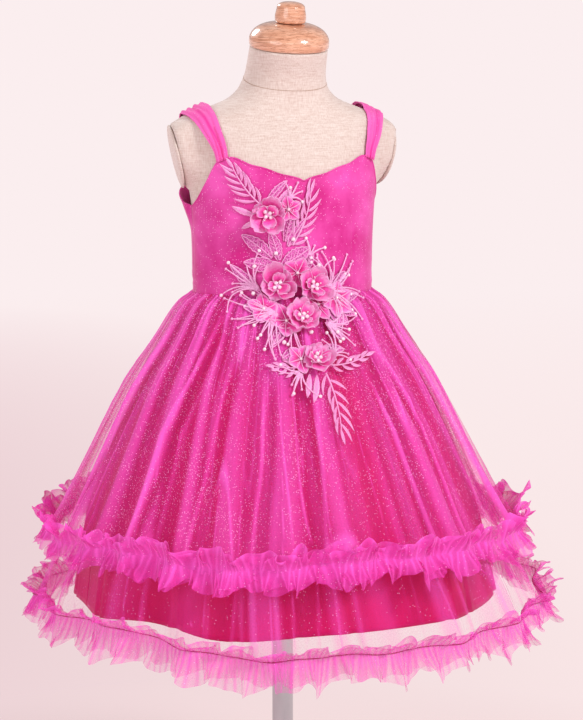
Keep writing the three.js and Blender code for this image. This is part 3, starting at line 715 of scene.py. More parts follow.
def makeLathe(name, profile, around, slot, material, node, tilt=0.0, lift=(0, 0, 0), rounded=2):
    # profile of (radius, height) in millimetres, rounded by cutting its corners
    for cut in range(rounded):
        finer = [profile[0]]
        for a, b in zip(profile, profile[1:]):
            finer.append((mix(a[0], b[0], 0.25), mix(a[1], b[1], 0.25)))
            finer.append((mix(a[0], b[0], 0.75), mix(a[1], b[1], 0.75)))
        finer.append(profile[-1])
        profile = finer
    turn = Matrix.Rotation(math.radians(tilt), 4, "X")
    points = []
    for radius, height in profile:
        for k in range(around):
            angle = 2 * math.pi * k / around
            spot = turn @ Vector((radius * math.cos(angle), radius * math.sin(angle), height))
            points.append((spot + Vector(lift)) * mm)
    settle(newObject(name, points, cappedFaces(len(profile), around)), slot, material, node)


stand = {
    "cap": [(0.5, 0.4), (38, 0.4), (40.4, 1.6), (41, 6), (40.4, 12), (35.4, 19), (26, 23.9),
            (15, 25.4), (0.5, 25.5)],
    "knob": [(0.5, 25.7), (14, 25.7), (16, 27.6), (16, 33), (14.4, 40), (14, 43.5), (9, 46.3),
             (0.5, 46.8)],
    "neckTop": (0, -20, 857),
    "flange": [(0.5, 434.4), (44, 434.4), (46, 435.2), (46, 439.2), (45, 439.6), (0.5, 439.6)],
    "pole": [(0.5, 8.6), (10.6, 8.6), (11, 9), (11, 433), (10.6, 433.5), (0.5, 433.5)],
    "collar": [(11.4, 8.3), (29, 8.3), (29, 9.8), (28, 13), (20, 17), (17.6, 24), (16.6, 40),
               (15.6, 43), (11.4, 43)],
    "foot": [(0.5, 0), (149, 0), (150, 0.6), (150, 4.6), (147, 7.6), (120, 8), (0.5, 8)],
    "plateProfile": [(0.02, 0), (0.93, 0), (1, 0.3), (0.97, 0.7), (0.86, 0.94), (0.5, 1), (0.02, 1)],
    "plate": {"y": 8, "z": 748, "tall": 33, "deep": 28, "thick": 3.4, "gap": 0.35},
}


def makeStand():
    tilt = form["neckTilt"]
    top = stand["neckTop"]
    makeLathe("woodCap", stand["cap"], 96, "wood", "wood", "neck_cap", tilt, top)
    makeLathe("woodKnob", stand["knob"], 64, "wood", "wood", "cap_knob", tilt, top)
    makeLathe("woodFlange", stand["flange"], 96, "wood", "wood", "pole_flange", rounded=1)
    makeLathe("chromePole", stand["pole"], 64, "chrome", "chrome", "pole", rounded=1)
    makeLathe("chromeCollar", stand["collar"], 96, "chrome", "chrome", "pole_collar")
    makeLathe("footPlate", stand["foot"], 160, "enamel", "enamel", "base_plate")


def makeArmPlates():
    plate = stand["plate"]
    around = 64
    for side, node in ((-1, "arm_plate_left"), (1, "arm_plate_right")):
        facing = Vector((side, form["cut"]["back"], -form["cut"]["down"])).normalized()
        spin = Vector((side, 0, 0)).rotation_difference(facing).to_matrix()
        middle = Vector((side * cutX(plate["y"], plate["z"]), plate["y"], plate["z"])) + facing * plate["gap"]
        points = []
        for radius, height in stand["plateProfile"]:
            for k in range(around):
                turn = 2 * math.pi * k / around * side
                spot = Vector((side * height * plate["thick"], radius * plate["deep"] * math.cos(turn),
                               radius * plate["tall"] * math.sin(turn)))
                points.append((spin @ spot + middle) * mm)
        name = "armPlateLinen" + ("Left" if side < 0 else "Right")
        settle(newObject(name, points, cappedFaces(len(stand["plateProfile"]), around)), "linen", "linen", node)


neckSeam = {"radius": 0.35, "front": 814, "back": 836, "sunk": 0.1}


def makeNeckSeam():
    # thin stitched ridge round the foot of the neck
    bundle = Bundle()
    route = []
    for angle in range(0, 361, 3):
        share = 0.5 - 0.5 * math.cos(math.radians(angle))
        z = mix(neckSeam["front"], neckSeam["back"], share)
        route.append(formPoint(angle, z, -neckSeam["sunk"]) * mm)
    bundle.addTube(route, neckSeam["radius"] * mm)
    settle(bundle.build("linenSeams", ["seam"]), "linen", "seam")


makeTorso()
makeStand()
makeArmPlates()
makeNeckSeam()
print("dress form made")


# Bodice

def backStandOff(angle, z):
    off = bodice["standOff"]
    size = abs(angle)
    if size < 90:
        return 0
    sideways = math.exp(-((size - off["at"]) / off["spread"]) ** 2)
    return off["most"] * sideways * smooth(off["low"], off["high"], z) * smooth(90, 97, size)


def bodiceRelief(angle, z):
    # seams as narrow troughs, and soft creases that gather above the waist
    depth = 0
    for seam in bodice["darts"] + bodice["backSeams"]:
        up = (z - seam["foot"]) / (seam["tip"] - seam["foot"])
        if -0.05 < up < 1.02:
            line = seam["at"] + seam["drift"] * up
            fade = 1 - smooth(0.9, 1.0, up) if seam in bodice["darts"] else 1
            depth -= bodice["seamDepth"] * fade * math.exp(-((angle - line) / bodice["seamSpread"]) ** 2)
    low = 1 - smooth(612, 652, z)
    crease = wobble(z * 0.11 + angle * 0.015, 3) * 1.1 + wobble(z * 0.23 - angle * 0.03, 5) * 0.7
    drape = wobble(angle * 0.06, 8) * smooth(640, 720, z) * 0.8
    return depth + crease * low + drape


def makeBodicePanel(name, start, end, columns, node):
    points = []
    for r in range(bodice["rows"] + 1):
        for c in range(columns + 1):
            angle = mix(start, end, c / columns)
            z = mix(bodiceTop(angle), bodice["waist"], r / bodice["rows"])
            out = bodice["outward"] + backStandOff(angle, z) + bodiceRelief(angle, z)
            points.append(formPoint(angle, z, out) * mm)
    piece = newObject(name, points, gridFaces(bodice["rows"] + 1, columns + 1, False))
    addThickness(piece, bodice["thickness"])
    settle(piece, "satin", "satin", node)


def makePiping():
    # narrow rolled edge along the top of every panel
    for name, start, end in (("neckPipeFront", -89.8, 89.8), ("neckPipeBackRight", 90.3, 179.4),
                             ("neckPipeBackLeft", -179.4, -90.3)):
        steps = int(abs(end - start) * 1.2)
        route = []
        for i in range(steps + 1):
            angle = mix(start, end, i / steps)
            top = bodiceTop(angle)
            route.append(formPoint(angle, top - 0.2, bodice["outward"] - 0.2 + backStandOff(angle, top)) * mm)
        bundle = Bundle()
        bundle.addTube(route, bodice["pipe"] * mm, 8)
        settle(bundle.build(name, ["satin"]), "satin", "satin")


closure = {
    "top": 715,
    "foot": 611,
    "lapAngle": 0.75,
    "lapRadius": 0.7,
    "pullTop": 712,
    "pullMiddle": 704,
    "pullThick": 1.2,
    "pull": [(0.9, 0), (1.2, -3), (2.2, -10), (2.6, -12), (1.8, -13.8), (0.05, -14.4)],     # half width, down
}


def makeBackClosure():
    # lapped edges of the hidden zip and its small drop-shaped pull
    laps, pull = Bundle(), Bundle()
    steps = 40
    for side in (-1, 1):
        angle = 180 - side * closure["lapAngle"]
        route = [formPoint(angle, mix(closure["top"], closure["foot"], i / steps), bodice["outward"] - 0.1) * mm
                 for i in range(steps + 1)]
        laps.addTube(route, closure["lapRadius"] * mm, 6)
    settle(laps.build("zipLap", ["satin"]), "satin", "satin")
    depth = formPoint(180, closure["pullMiddle"], bodice["outward"] + 1.0).y

    def edge(side, out):
        return [Vector((side * half, depth + out, closure["pullTop"] + down)) * mm
                for half, down in closure["pull"]]

    thick = closure["pullThick"]
    pull.addGrid(list(zip(edge(1, 0), edge(-1, 0))))
    pull.addGrid(list(zip(edge(-1, thick), edge(1, thick))))
    for side in (-1, 1):
        pull.addTube(edge(side, thick / 2), thick / 2 * mm, 6)
    settle(pull.build("zipPullDrop", ["satin"]), "satin", "satin", "zip_pull")


makeBodicePanel("bodiceFrontCloth", -89.8, 89.8, 150, "bodice_front")
makeBodicePanel("bodiceBackRightCloth", 90.2, 179.7, 76, "bodice_back_right")
makeBodicePanel("bodiceBackLeftCloth", -179.7, -90.2, 76, "bodice_back_left")
makePiping()
makeBackClosure()
print("bodice made")


# Straps: soft net gathered into lengthwise folds

strap = {
    "steps": 64,
    "across": 33,
    "foldHeight": 3.0,
    "ease": 1.7,             # least room to the form
    "tuck": 4.5,
    "thickness": 0.0008,
    "folds": 3.6,            # across the strap
    "fineFolds": 46,
    "groove": 0.8,           # one deep fold that wanders along the strap, its colour deepened there as painted shade
    "grooveWide": 0.08,
    "stations": {"columns": ["at", "x", "y", "z", "width", "outX", "outY", "outZ"], "rows": [
        (0, 78.5, -45, 749.6, 12.5, 0.35, -0.93, 0.12), (1, 82.5, -42.6, 762, 15, 0.35, -0.85, 0.38),
        (2, 87, -36, 775, 18.5, 0.36, -0.72, 0.6), (3, 91, -24, 788, 22.5, 0.38, -0.45, 0.8),
        (4, 94, -9, 795, 25.5, 0.4, -0.15, 0.9), (5, 94.5, 7, 796, 26, 0.4, 0.1, 0.9),
        (6, 92, 24, 789, 24, 0.36, 0.45, 0.8), (7, 87, 39, 775, 20.5, 0.32, 0.75, 0.58),
        (8, 80.5, 49.5, 754, 17.5, 0.28, 0.9, 0.3), (9, 73.5, 54.5, 735, 15.5, 0.24, 0.95, 0.15),
        (10, 68.5, 56, 718.6, 14.5, 0.22, 0.97, 0.05)]},
}


def insideForm(spot):
    wide, deep, centre = formSection(spot.z)
    return math.hypot(spot.x / wide, (spot.y - centre) / deep) < 1


def makeStrap(name, side, node):
    table = strap["stations"]
    points, gather = [], []

    def station(at, *keys):
        return Vector([readCurve(table, at, key) for key in keys])

    for i in range(strap["steps"] + 1):
        at = 10 * i / strap["steps"]
        here = station(at, "x", "y", "z")
        tuck = strap["tuck"] * max(1 - min(i, strap["steps"] - i) / 3, 0)
        along = station(min(at + 0.1, 10), "x", "y", "z") - station(max(at - 0.1, 0), "x", "y", "z")
        out = station(at, "outX", "outY", "outZ").normalized()
        across = along.normalized().cross(out).normalized()
        width = readCurve(table, at, "width")
        for c in range(strap["across"]):
            share = c / (strap["across"] - 1) - 0.5
            drift = 0.35 * wobble(at * 0.5, 11 + side)
            wave = math.sin((share * strap["folds"] + drift) * 2 * math.pi + 0.6)
            fine = math.sin(share * strap["fineFolds"] + at * 0.8 + 2 * wobble(at * 0.7, 4))
            away = share - 0.06 * side + 0.16 * wobble(at * 0.35, 5 + side)
            groove = math.exp(-(away / strap["grooveWide"]) ** 2)
            height = (0.5 + 0.5 * wave) * (1 - (2 * abs(share)) ** 6 * 0.8)
            height += fine * 0.12 - groove * strap["groove"]
            spot = here + across * share * width - Vector((0, 0, tuck))
            spot += out * strap["foldHeight"] * max(height, 0) * (0.75 + 0.25 * wobble(at * 0.9, 9))
            guard = 0
            while insideForm(spot - out * strap["ease"]) and guard < 40:
                spot += out * 0.25
                guard += 1
            points.append(Vector((spot.x * side, spot.y, spot.z)) * mm)
            # the deep groove is coloured deeper: painted shade along the fold
            gather.append(min(max(0.8 - height * 0.3 - groove * 0.9, 0), 1))
    piece = newObject(name, points, gridFaces(strap["steps"] + 1, strap["across"], False), {"gather": gather})
    addThickness(piece, strap["thickness"], 0.0)
    settle(piece, "tulle", "strap", node)


makeStrap("strapNetLeft", -1, "strap_left")
makeStrap("strapNetRight", 1, "strap_right")
print("straps made")


# Skirts: three layers from the waist, each on its own table of rings

# Crests are folds, as degrees from centre front and depth, made alike behind. A ring has its height,
# half width, depth to width, fold depth, shift to the side and share of the hem's rise.

rings = ["z", "wide", "ratio", "fold", "x", "hem"]

upperSkirt = {
    "seed": 1,
    "thickness": 0,
    "mainFolds": 1.0,
    "foldShift": 0,
    "drawIn": 4.6,
    "fine": 1.0,
    "hemWave": 5,
    "hemDrop": 0,
    "crests": [(-83, 0.85), (-70, 1), (-57, 0.8), (-44, 1), (-31, 0.7), (-17, 0.95),
               (-3, 0.75), (12, 1), (28, 0.9), (45, 1), (61, 0.8), (77, 0.95)],
    "rings": {"columns": rings, "rows": [
        (waistLine, 100.2, 0.744, 0.8, 0, 0), (592, 116, 0.765, 2.2, 0, 0), (565, 133.5, 0.79, 3.4, 0, 0),
        (525, 161.5, 0.825, 5, 0, 0), (480, 186, 0.87, 6.6, 0, 0), (430, 211.5, 0.92, 8.6, 0, 0),
        (390, 232.5, 0.95, 11, 0, 0.4), (366, 247, 0.97, 13, 0, 1)]},
}
lowerSkirt = {
    "seed": 2,
    "thickness": 0,
    "mainFolds": 0.8,
    "foldShift": 5,
    "drawIn": 2.2,
    "fine": 0.8,
    "hemWave": 5,
    "hemDrop": 9,
    "crests": [(-80, 1), (-60, 0.8), (-41, 1), (-22, 0.9), (-1, 0.75),
               (20, 1), (41, 0.85), (61, 1), (81, 0.9)],
    "rings": {"columns": rings, "rows": [
        (waistLine, 97.6, 0.738, 0.4, 0, 0), (565, 127.4, 0.79, 2.5, 0, 0), (480, 175.5, 0.87, 5, 0, 0),
        (390, 216, 0.95, 8, 1, 0), (325, 249, 0.975, 11, 4, 0.5), (289, 265, 0.985, 14.5, 7, 1)]},
}
liningSkirt = {
    "seed": 3,
    "thickness": 0.0006,
    "mainFolds": 0.4,
    "foldShift": 9,
    "drawIn": 0.6,
    "fine": 0.5,
    "hemWave": 5,
    "hemDrop": 0,
    "crests": [(-74, 0.9), (-38, 1), (-3, 0.7), (33, 1), (70, 0.85)],
    "rings": {"columns": rings, "rows": [
        (waistLine, 95, 0.736, 0, 0, 0), (565, 121.5, 0.79, 1.5, 0, 0), (480, 167, 0.87, 4, 0, 0),
        (390, 203, 0.945, 6, 0, 0), (292, 223, 0.97, 10, 2, 1)]},
}


def foldHeight(skirt, angle):
    crests = skirt["crests"] + [(at + 180, deep) for at, deep in skirt["crests"]]
    first = crests[0][0]
    turned = first + (angle - first) % 360
    loop = crests + [(first + 360, crests[0][1])]
    i = 0
    while i < len(loop) - 2 and turned > loop[i + 1][0]:
        i += 1
    share = (turned - loop[i][0]) / (loop[i + 1][0] - loop[i][0])
    deep = mix(loop[i][1], loop[i + 1][1], share)
    return 1 - deep * math.sin((1 - abs(2 * share - 1)) * math.pi / 2) ** 1.4


hemWaves = [(5, 40, 0.6), (8, 155, 0.4)]        # times round, turned by, share


def hemRise(skirt, angle):
    wave = sum(math.sin(math.radians(times * angle + turned)) * share for times, turned, share in hemWaves)
    return skirt["hemWave"] * wave - skirt["hemDrop"] * math.cos(math.radians(2 * angle))


creases = {
    "columns": ["times", "width", "seed"],
    "rows": [(6, 0.038, 1.3), (11, 0.055, 2.9)],
    "nearWaist": (22, 0.12, 5.1),
    "nearReach": 110,
    "wander": 0.0026,
    "high": 1.5,
}


def creaseLine(skirt, angle, z):
    # 0 to 1 on thin fold edges that wander down the cloth and end at uneven heights
    turn = math.radians(angle)
    sine, cosine = math.sin(turn), math.cos(turn)
    best = 0
    short = smooth(waistLine - creases["nearReach"], waistLine, z)
    for times, width, seed in creases["rows"] + [creases["nearWaist"]]:
        width *= 1 if times < creases["nearWaist"][0] else max(short, 0.01)
        seed += skirt["seed"] * 11.7
        spot = Vector((cosine * times, sine * times, z * creases["wander"] + seed))
        line = 1 - abs(noise.noise(spot)) / width
        if line > 0:
            strength = noise.noise(Vector((cosine * times / 2, sine * times / 2, z * 0.006 + seed * 3.7)))
            best = max(best, line * smooth(-0.25, 0.25, strength))
    return best


# Main folds of both nets: a crisp lit edge beside a deep valley, placed from the photo in
# front and alike behind. Angles at the waist, half way down and at the hem; a minus sign mirrors one.

mainFolds = {
    "columns": ["waist", "middle", "hem", "start", "deep"],
    "rows": [
        (-78, -84, -87, 600, 0.9), (-45, -56, -58, 600, 1.0), (-33, -38, -41, 575, 0.6),
        (-20, -22, -25, 545, 0.8), (-3, -6, -8, 535, -0.7), (14, 21, 22, 545, -1.0),
        (26, 35, 34, 560, -0.8), (52, 56, 60, 600, -0.9), (76, 80, 84, 560, -0.7),
        (104, 100, 98, 600, 0.9), (122, 128, 131, 580, 0.8), (143, 146, 150, 600, -1.0),
        (163, 166, 165, 550, 0.6), (186, 184, 182, 600, -0.8), (205, 203, 207, 570, 0.7),
        (224, 228, 232, 600, 1.0), (246, 250, 248, 560, -0.7)],
    "middle": 480,
    "hem": 366,
    "reach": 24,
    "fadeIn": 50,
    "ridge": (3.0, -3, 3.6),        # height, place beside the line and spread, in millimetres
    "valley": (6.5, 4.5, 5),
    "lit": (0.9, -2, 2.6),          # the same for how far the net closes on the ridge, a painted highlight
    "shade": (0.8, 6, 6.5),         # and opens in the valley, a painted shade
}


def hump(away, high, place, spread):
    return high * math.exp(-((away - place) / spread) ** 2)


def mainFold(skirt, angle, z, radius):
    # height in millimetres and change of cover where a main fold passes; the cover change is a painted
    # highlight on the ridge and painted shade in the valley
    bend = mainFolds["middle"]
    height, cover = 0, 0
    for fold in tableRows(mainFolds):
        if z > fold["start"]:
            continue
        if z > bend:
            line = mix(fold["middle"], fold["waist"], (z - bend) / (waistLine - bend))
        else:
            line = mix(fold["middle"], fold["hem"], smooth(bend, mainFolds["hem"], z))
        away = math.radians(turnBetween(line + skirt["foldShift"], angle)) * radius
        if abs(away) > mainFolds["reach"]:
            continue
        away = -away if fold["deep"] < 0 else away
        strength = abs(fold["deep"]) * smooth(0, mainFolds["fadeIn"], fold["start"] - z)
        height += strength * (hump(away, *mainFolds["ridge"]) - hump(away, *mainFolds["valley"]))
        # painted highlight on the ridge and painted shade in the valley, carried by the net's cover
        cover += strength * (hump(away, *mainFolds["lit"]) - hump(away, *mainFolds["shade"]))
    return height, cover


gathers = {
    "short": {"times": 84, "fades": 26, "high": 0.9},
    "middle": {"times": 46, "fades": 75, "high": 1.5},
    "long": {"times": 15, "high": 2.2, "from": 60, "to": 190, "end": 90},
    "drift": 6,
}


def gatherDrift(skirt, angle):
    return gathers["drift"] * wobbleRound(angle, 3.1, skirt["seed"])


def fineFolds(skirt, angle, z):
    # short gathers below the waist and a few long soft creases that end at uneven heights
    short, middle, long = gathers["short"], gathers["middle"], gathers["long"]
    below = waistLine - z
    drift = gatherDrift(skirt, angle)
    height = math.sin(math.radians(angle * short["times"]) + drift) * math.exp(
        -below / short["fades"]) * short["high"]
    height += math.sin(math.radians(angle * middle["times"]) + drift * 1.7) * math.exp(
        -below / middle["fades"]) * middle["high"]
    reach = mix(long["from"], long["to"], 0.5 + 0.5 * wobbleRound(angle, 6.0, skirt["seed"] + 4))
    lasting = smooth(0, 50, below) * (1 - smooth(reach, reach + long["end"], below))
    height += wobbleRound(angle, long["times"], skirt["seed"] + 9) * lasting * long["high"]
    return skirt["fine"] * (height + creaseLine(skirt, angle, z) * creases["high"])


def skirtPoint(skirt, angle, z, out=0.0, bare=False):
    ring = {key: readCurve(skirt["rings"], z, key) for key in rings[1:]}
    reach = out - ring["fold"] * (1 - foldHeight(skirt, angle))
    reach -= skirt["drawIn"] * (1 - smooth(0, 9, waistLine - z))
    if not bare:
        reach += (fineFolds(skirt, angle, z) * 0.8
                  + mainFold(skirt, angle, z, ring["wide"])[0] * skirt["mainFolds"])
    sine, cosine = math.sin(math.radians(angle)), math.cos(math.radians(angle))
    return Vector((ring["x"] + (ring["wide"] + reach) * sine, -(ring["wide"] * ring["ratio"] + reach) * cosine,
                   z + ring["hem"] * hemRise(skirt, angle)))


# How closed the net looks, 0 to 1: bands on the fold crests, pleats at the waist, creases and sides. The net's
# colour follows it, so the crest bands and the main folds' ridges and valleys are partly painted highlight and
# painted shade
netCover = {"least": 0.06, "band": 0.62, "waist": 0.35, "waistFades": 60, "crease": 0.6,
            "side": 0.11, "front": -10}


def coverAt(skirt, angle, z):
    height = foldHeight(skirt, angle) + 0.9 * wobbleRound(angle + 0.012 * z, 9, skirt["seed"] + 20)
    pleat = 0.5 + 0.5 * math.sin(math.radians(angle * gathers["short"]["times"]) + gatherDrift(skirt, angle))
    # crest bands: paler on fold crests, partly layered net and partly painted highlight, deeper in the troughs
    # as painted shade
    cover = netCover["least"] + netCover["band"] * smooth(0.3, 1.15, height)
    cover += netCover["waist"] * math.exp(-(waistLine - z) / netCover["waistFades"]) * pleat
    cover += netCover["crease"] * creaseLine(skirt, angle, z)
    cover -= netCover["side"] * math.cos(math.radians(2 * (angle - netCover["front"])))
    cover += mainFold(skirt, angle, z, readCurve(skirt["rings"], z, "wide"))[1] * skirt["mainFolds"]
    return min(max(cover, 0), 1)


def makeSkirt(name, skirt, columns, rows, out, slot, material, nodes):
    low = skirt["rings"]["rows"][-1][0]
    for half, middle, node in (("Front", 0, nodes[0]), ("Back", 180, nodes[1])):
        points, gather = [], []
        for r in range(rows + 1):
            z = mix(waistLine, low, r / rows)
            for c in range(columns + 1):
                angle = mix(middle - 89.95, middle + 89.95, c / columns)
                points.append(skirtPoint(skirt, angle, z, out) * mm)
                gather.append(coverAt(skirt, angle, z))
        piece = newObject(name + half, points, gridFaces(rows + 1, columns + 1, False), {"gather": gather})
        if skirt["thickness"]:
            addThickness(piece, skirt["thickness"])
        settle(piece, slot, material, node)


makeSkirt("liningSatin", liningSkirt, 180, 60, -0.5, "lining", "lining",
          ("lining_front", "lining_back"))
makeSkirt("lowerNet", lowerSkirt, 420, 80, -0.6, "tulle", "lower",
          ("tulle_lower_front", "tulle_lower_back"))
makeSkirt("upperNet", upperSkirt, 480, 80, -0.6, "tulle", "upper",
          ("tulle_upper_front", "tulle_upper_back"))
print("skirts made")


# Frills: strips of net drawn up along a stitched line, both edges loose

upperFrill = {
    "skirt": upperSkirt, "seed": 5, "across": 13, "pleats": 210, "perPleat": 8, "waves": 46,
    "up": 20, "down": 22,                                   # from the stitched line to each loose edge
    "out": 3.0, "flare": 11, "swing": 7, "pleat": 1.1,      # how far it stands out, in all and by waves
    "rise": 4.0, "fold": 6.5, "wander": 3.6, "crumple": 7, "lobes": 1.1,
    "tufts": [(68, 7, 8), (150, 6, 7), (-130, 6, 7)],       # angle, reach and spread in degrees
    "thread": 0,
}
lowerFrill = {
    "skirt": lowerSkirt, "seed": 6, "across": 13, "pleats": 290, "perPleat": 6, "waves": 52,
    "up": 11, "down": 28,
    "out": 2.6, "flare": 12, "swing": 7, "pleat": 1.2,
    "rise": 3.6, "fold": 5.5, "wander": 2.2, "crumple": 6, "lobes": 0.8,
    "tufts": [(68, 11, 9), (-106, 6, 8), (128, 8, 9), (-158, 8, 8)],
    "thread": 0.42,
}
frillLayers = [(0, 1.0), (30, 0.78)]        # added to the seed, and size of each of the two layers


def pleatPhase(frill, angle, seed):
    return frill["pleats"] * math.radians(angle) + 9.0 * wobbleRound(angle, 9, seed + 3)


def frillPoint(frill, angle, share, seed, size):
    # share runs from 1 at the upper loose edge over 0 at the stitched line to -1 at the lower edge
    skirt = frill["skirt"]
    hem = skirt["rings"]["rows"][-1][0] + 1
    side = abs(share)
    turn = math.radians(angle)
    strength = 0.8 + 0.7 * wobbleRound(angle, 13, seed + 1)
    lobe = frill["lobes"] * wobbleRound(angle, 14, seed + 2)
    wave = frill["waves"] * turn + 4.0 * wobbleRound(angle, 4, seed) + (2.1 if share < 0 else 0)
    pleat = pleatPhase(frill, angle, seed)
    reach = frill["out"] + size * frill["flare"] * side ** 1.3 * (0.85 + 0.7 * lobe)
    reach += size * frill["swing"] * side ** 1.1 * strength * math.sin(wave)
    around = Vector((math.cos(turn) * 24, math.sin(turn) * 24, share * 1.6 + seed * 3.3))
    reach += size * frill["crumple"] * side * noise.noise(around)
    for place, more, wide in frill["tufts"]:
        reach += (0.3 + 0.7 * side) * hump(turnBetween(place, angle), more, 0, wide)
    patchy = 0.6 + 1.2 * wobbleRound(angle, 20, seed + 8)
    reach += frill["pleat"] * patchy * min(side * 2.5, 1) * math.sin(pleat) * (1 - 0.45 * side)
    height = (frill["up"] if share > 0 else -frill["down"]) * side * size * (0.92 + 0.5 * lobe)
    height += frill["rise"] * side * strength * math.cos(wave) * size
    height += size * frill["crumple"] * side * noise.noise(around * 1.3)
    height += frill["wander"] * wobbleRound(angle, 7, frill["seed"] + 4)
    slide = side ** 1.2 * frill["fold"] * strength * math.cos(wave)
    across = math.degrees(slide / skirt["rings"]["rows"][-1][1])
    spot = skirtPoint(skirt, angle + across, hem, max(reach, 1.2), True)
    spot.z += height
    return spot


def makeFrill(name, frill, material, nodes):
    for half, middle, node in (("Front", 0, nodes[0]), ("Back", 180, nodes[1])):
        columns = frill["pleats"] * frill["perPleat"] // 2
        points, gather, faces = [], [], []
        for more, size in frillLayers:
            start = len(points)
            seed = frill["seed"] + more
            for r in range(frill["across"]):
                share = 1 - 2 * r / (frill["across"] - 1)
                for c in range(columns + 1):
                    angle = mix(middle - 89.9, middle + 89.9, c / columns)
                    points.append(frillPoint(frill, angle, share, seed, size) * mm)
                    line = (0.5 + 0.5 * math.sin(pleatPhase(frill, angle, seed))) ** 3
                    edge = smooth(0.7, 1.0, share) * 0.7
                    cover = 0.5 * (1 - abs(share)) + 0.45 * line + edge + 0.25 * wobbleRound(angle, 30, seed)
                    gather.append(min(max(cover, 0), 1))
            faces += gridFaces(frill["across"], columns + 1, False, start)
        piece = newObject(name + half, points, faces, {"gather": gather})
        settle(piece, "frill", material, node)
        if not frill["thread"]:
            continue
        bundle, steps = Bundle(), 400
        route = [frillPoint(frill, mix(middle - 89.9, middle + 89.9, k / steps), 0.0, frill["seed"], 1.0) * mm
                 for k in range(steps + 1)]
        bundle.addTube([spot * 1.0025 for spot in route], frill["thread"] * mm)     # just outside the net
        settle(bundle.build(name + "Stitches" + half, ["stitch"]), "frill", "stitch")


makeFrill("upperFrillNet", upperFrill, "frill",
          ("frill_upper_front", "frill_upper_back"))
makeFrill("lowerFrillNet", lowerFrill, "frillSheer",
          ("frill_lower_front", "frill_lower_back"))
print("frills made")


# Applique: the surface that it lies on

bed = {"overForm": 2.3, "blend": 12, "step": 4, "clear": 2.7}


def ovalDepth(x, wide, deep):
    return -deep * math.sqrt(max(1 - (x / wide) ** 2, 0))


def bedDepth(x, z):
    level = min(z, waistLine)
    wide = readCurve(upperSkirt["rings"], level, "wide")
    skirtY = ovalDepth(x, wide, wide * readCurve(upperSkirt["rings"], level, "ratio"))
    if z <= waistLine:
        return skirtY
    wide, deep, centre = formSection(z)
    bodiceY = centre + ovalDepth(x, wide + bed["overForm"], deep + bed["overForm"])
    return min(bodiceY, mix(skirtY, bodiceY, min((z - waistLine) / bed["blend"], 1)))


def bedNormal(x, z):
    step = bed["step"]
    slopeX = (bedDepth(x + step, z) - bedDepth(x - step, z)) / (2 * step)
    slopeZ = (bedDepth(x, z + step) - bedDepth(x, z - step)) / (2 * step)
    return Vector((slopeX, -1, slopeZ)).normalized()


def bedPoint(x, z, out):
    return Vector((x, bedDepth(x, z), z)) + bedNormal(x, z) * out


def flatPlace(foot, heading, along, across):
    turn = math.radians(heading)
    return (foot[0] + along * math.cos(turn) - across * math.sin(turn),
            foot[1] + along * math.sin(turn) + across * math.cos(turn))


motifMaterials = ["lace", "cord", "mesh", "petal", "pearl"]
lacePart, cordPart, meshPart, petalPart, pearlPart = range(5)


def layLeaflet(bundle, foot, heading, length, width, lift, curl=0.0, bend=0.0, steps=9, toothed=0.0,
               material=lacePart):
    # pointed leaf laid on the cloth: a raised vein, a domed blade and, if it is wide, a corded edge
    rows, rims = [], []
    corded = width > 6
    for i in range(steps + 1):
        along = i / steps
        half = max(width / 2 * math.sin(math.pi * min(along * 0.94 + 0.05, 1)) ** 0.8, 0.12)
        half *= 1 + toothed * (0.5 if i % 2 else -0.5) * math.sin(math.pi * along)
        turn = heading + bend * along
        row, rim = [], []
        for side in (-1, -0.55, 0, 0.55, 1):
            x, z = flatPlace(foot, turn, along * length, side * half)
            height = lift + curl * along * along + (1 - abs(side)) * 0.7 + (0.4 if side == 0 else 0)
            row.append(bedPoint(x, z, height) * mm)
            rim.append(0.35 + 0.6 * abs(side) if material != petalPart else along * 0.7 + 0.3 * abs(side))
        rows.append(row)
        rims.append(rim)
    bundle.addGrid(rows, False, meshPart if corded and material == lacePart else material, rims)
    if corded:
        for place in (0, -1, 2):
            bundle.addTube([row[place] for row in rows], 0.6 * mm, 4, cordPart)


def layVeins(bundle, foot, heading, length, width, bend):
    for i in range(1, 7):
        start = flatPlace(foot, heading + bend * i / 7, length * i / 8, 0)
        reach = width * 0.46 * math.sin(math.pi * (i + 0.8) / 8.2)
        for side in (-1, 1):
            tip = flatPlace(start, heading + side * 46, reach, 0)
            bundle.addTube([bedPoint(*start, 2.2) * mm, bedPoint(*tip, 1.9) * mm], 0.38 * mm, 4, cordPart)


# Leaves, fronds and stamens: feet in millimetres across and up, headings in degrees from +X

leaves = {
    "columns": ["name", "node", "x", "z", "heading", "length", "width"],
    "rows": [
        ("leafBreastLow", "leaf_breast_low", -27, 646, 101, 30, 11),
        ("leafBreastSide", "leaf_breast_side", -34, 648, 133, 36, 13),
        ("leafWaistUpper", "leaf_waist_upper", -23.5, 641, 26, 32, 17),
        ("leafWaistLeft", "leaf_waist_left", -29, 638, 163, 31, 14),
        ("leafSkirtRight", "leaf_skirt_right", 21, 598, 308, 24, 14),
    ],
}
fronds = {
    "columns": ["name", "node", "x", "z", "heading", "length", "width", "pairs"],
    "rows": [
        ("frondStrap", "frond_strap", -45, 702, 129, 52, 25, 6),
        ("frondBreast", "frond_breast", -13.5, 661, 64, 66, 29, 6),
        ("frondLowLeft", "frond_low_left", -17, 544, 184, 36, 17, 4),
        ("frondLowRight", "frond_low_right", 10, 544, 4, 50, 18, 4),
        ("frondHemward", "frond_hemward", 2.5, 537, 280, 62, 28, 5),
    ],
}
sprays = {
    "columns": ["name", "node", "x", "z", "heading", "spread", "length", "strands"],
    "rows": [
        ("sprayLeft", "spray_left", -45, 615, 140, 40, 40, 9),
        ("sprayRight", "spray_right", 24, 613, 20, 150, 42, 24),
        ("sprayLowLeft", "spray_low_left", -33, 596, 210, 74, 46, 17),
        ("sprayLowRight", "spray_low_right", 13, 584, 325, 50, 36, 10),
    ],
}

# Flat embroidery under and between the flowers, sewn to the cloth in one piece

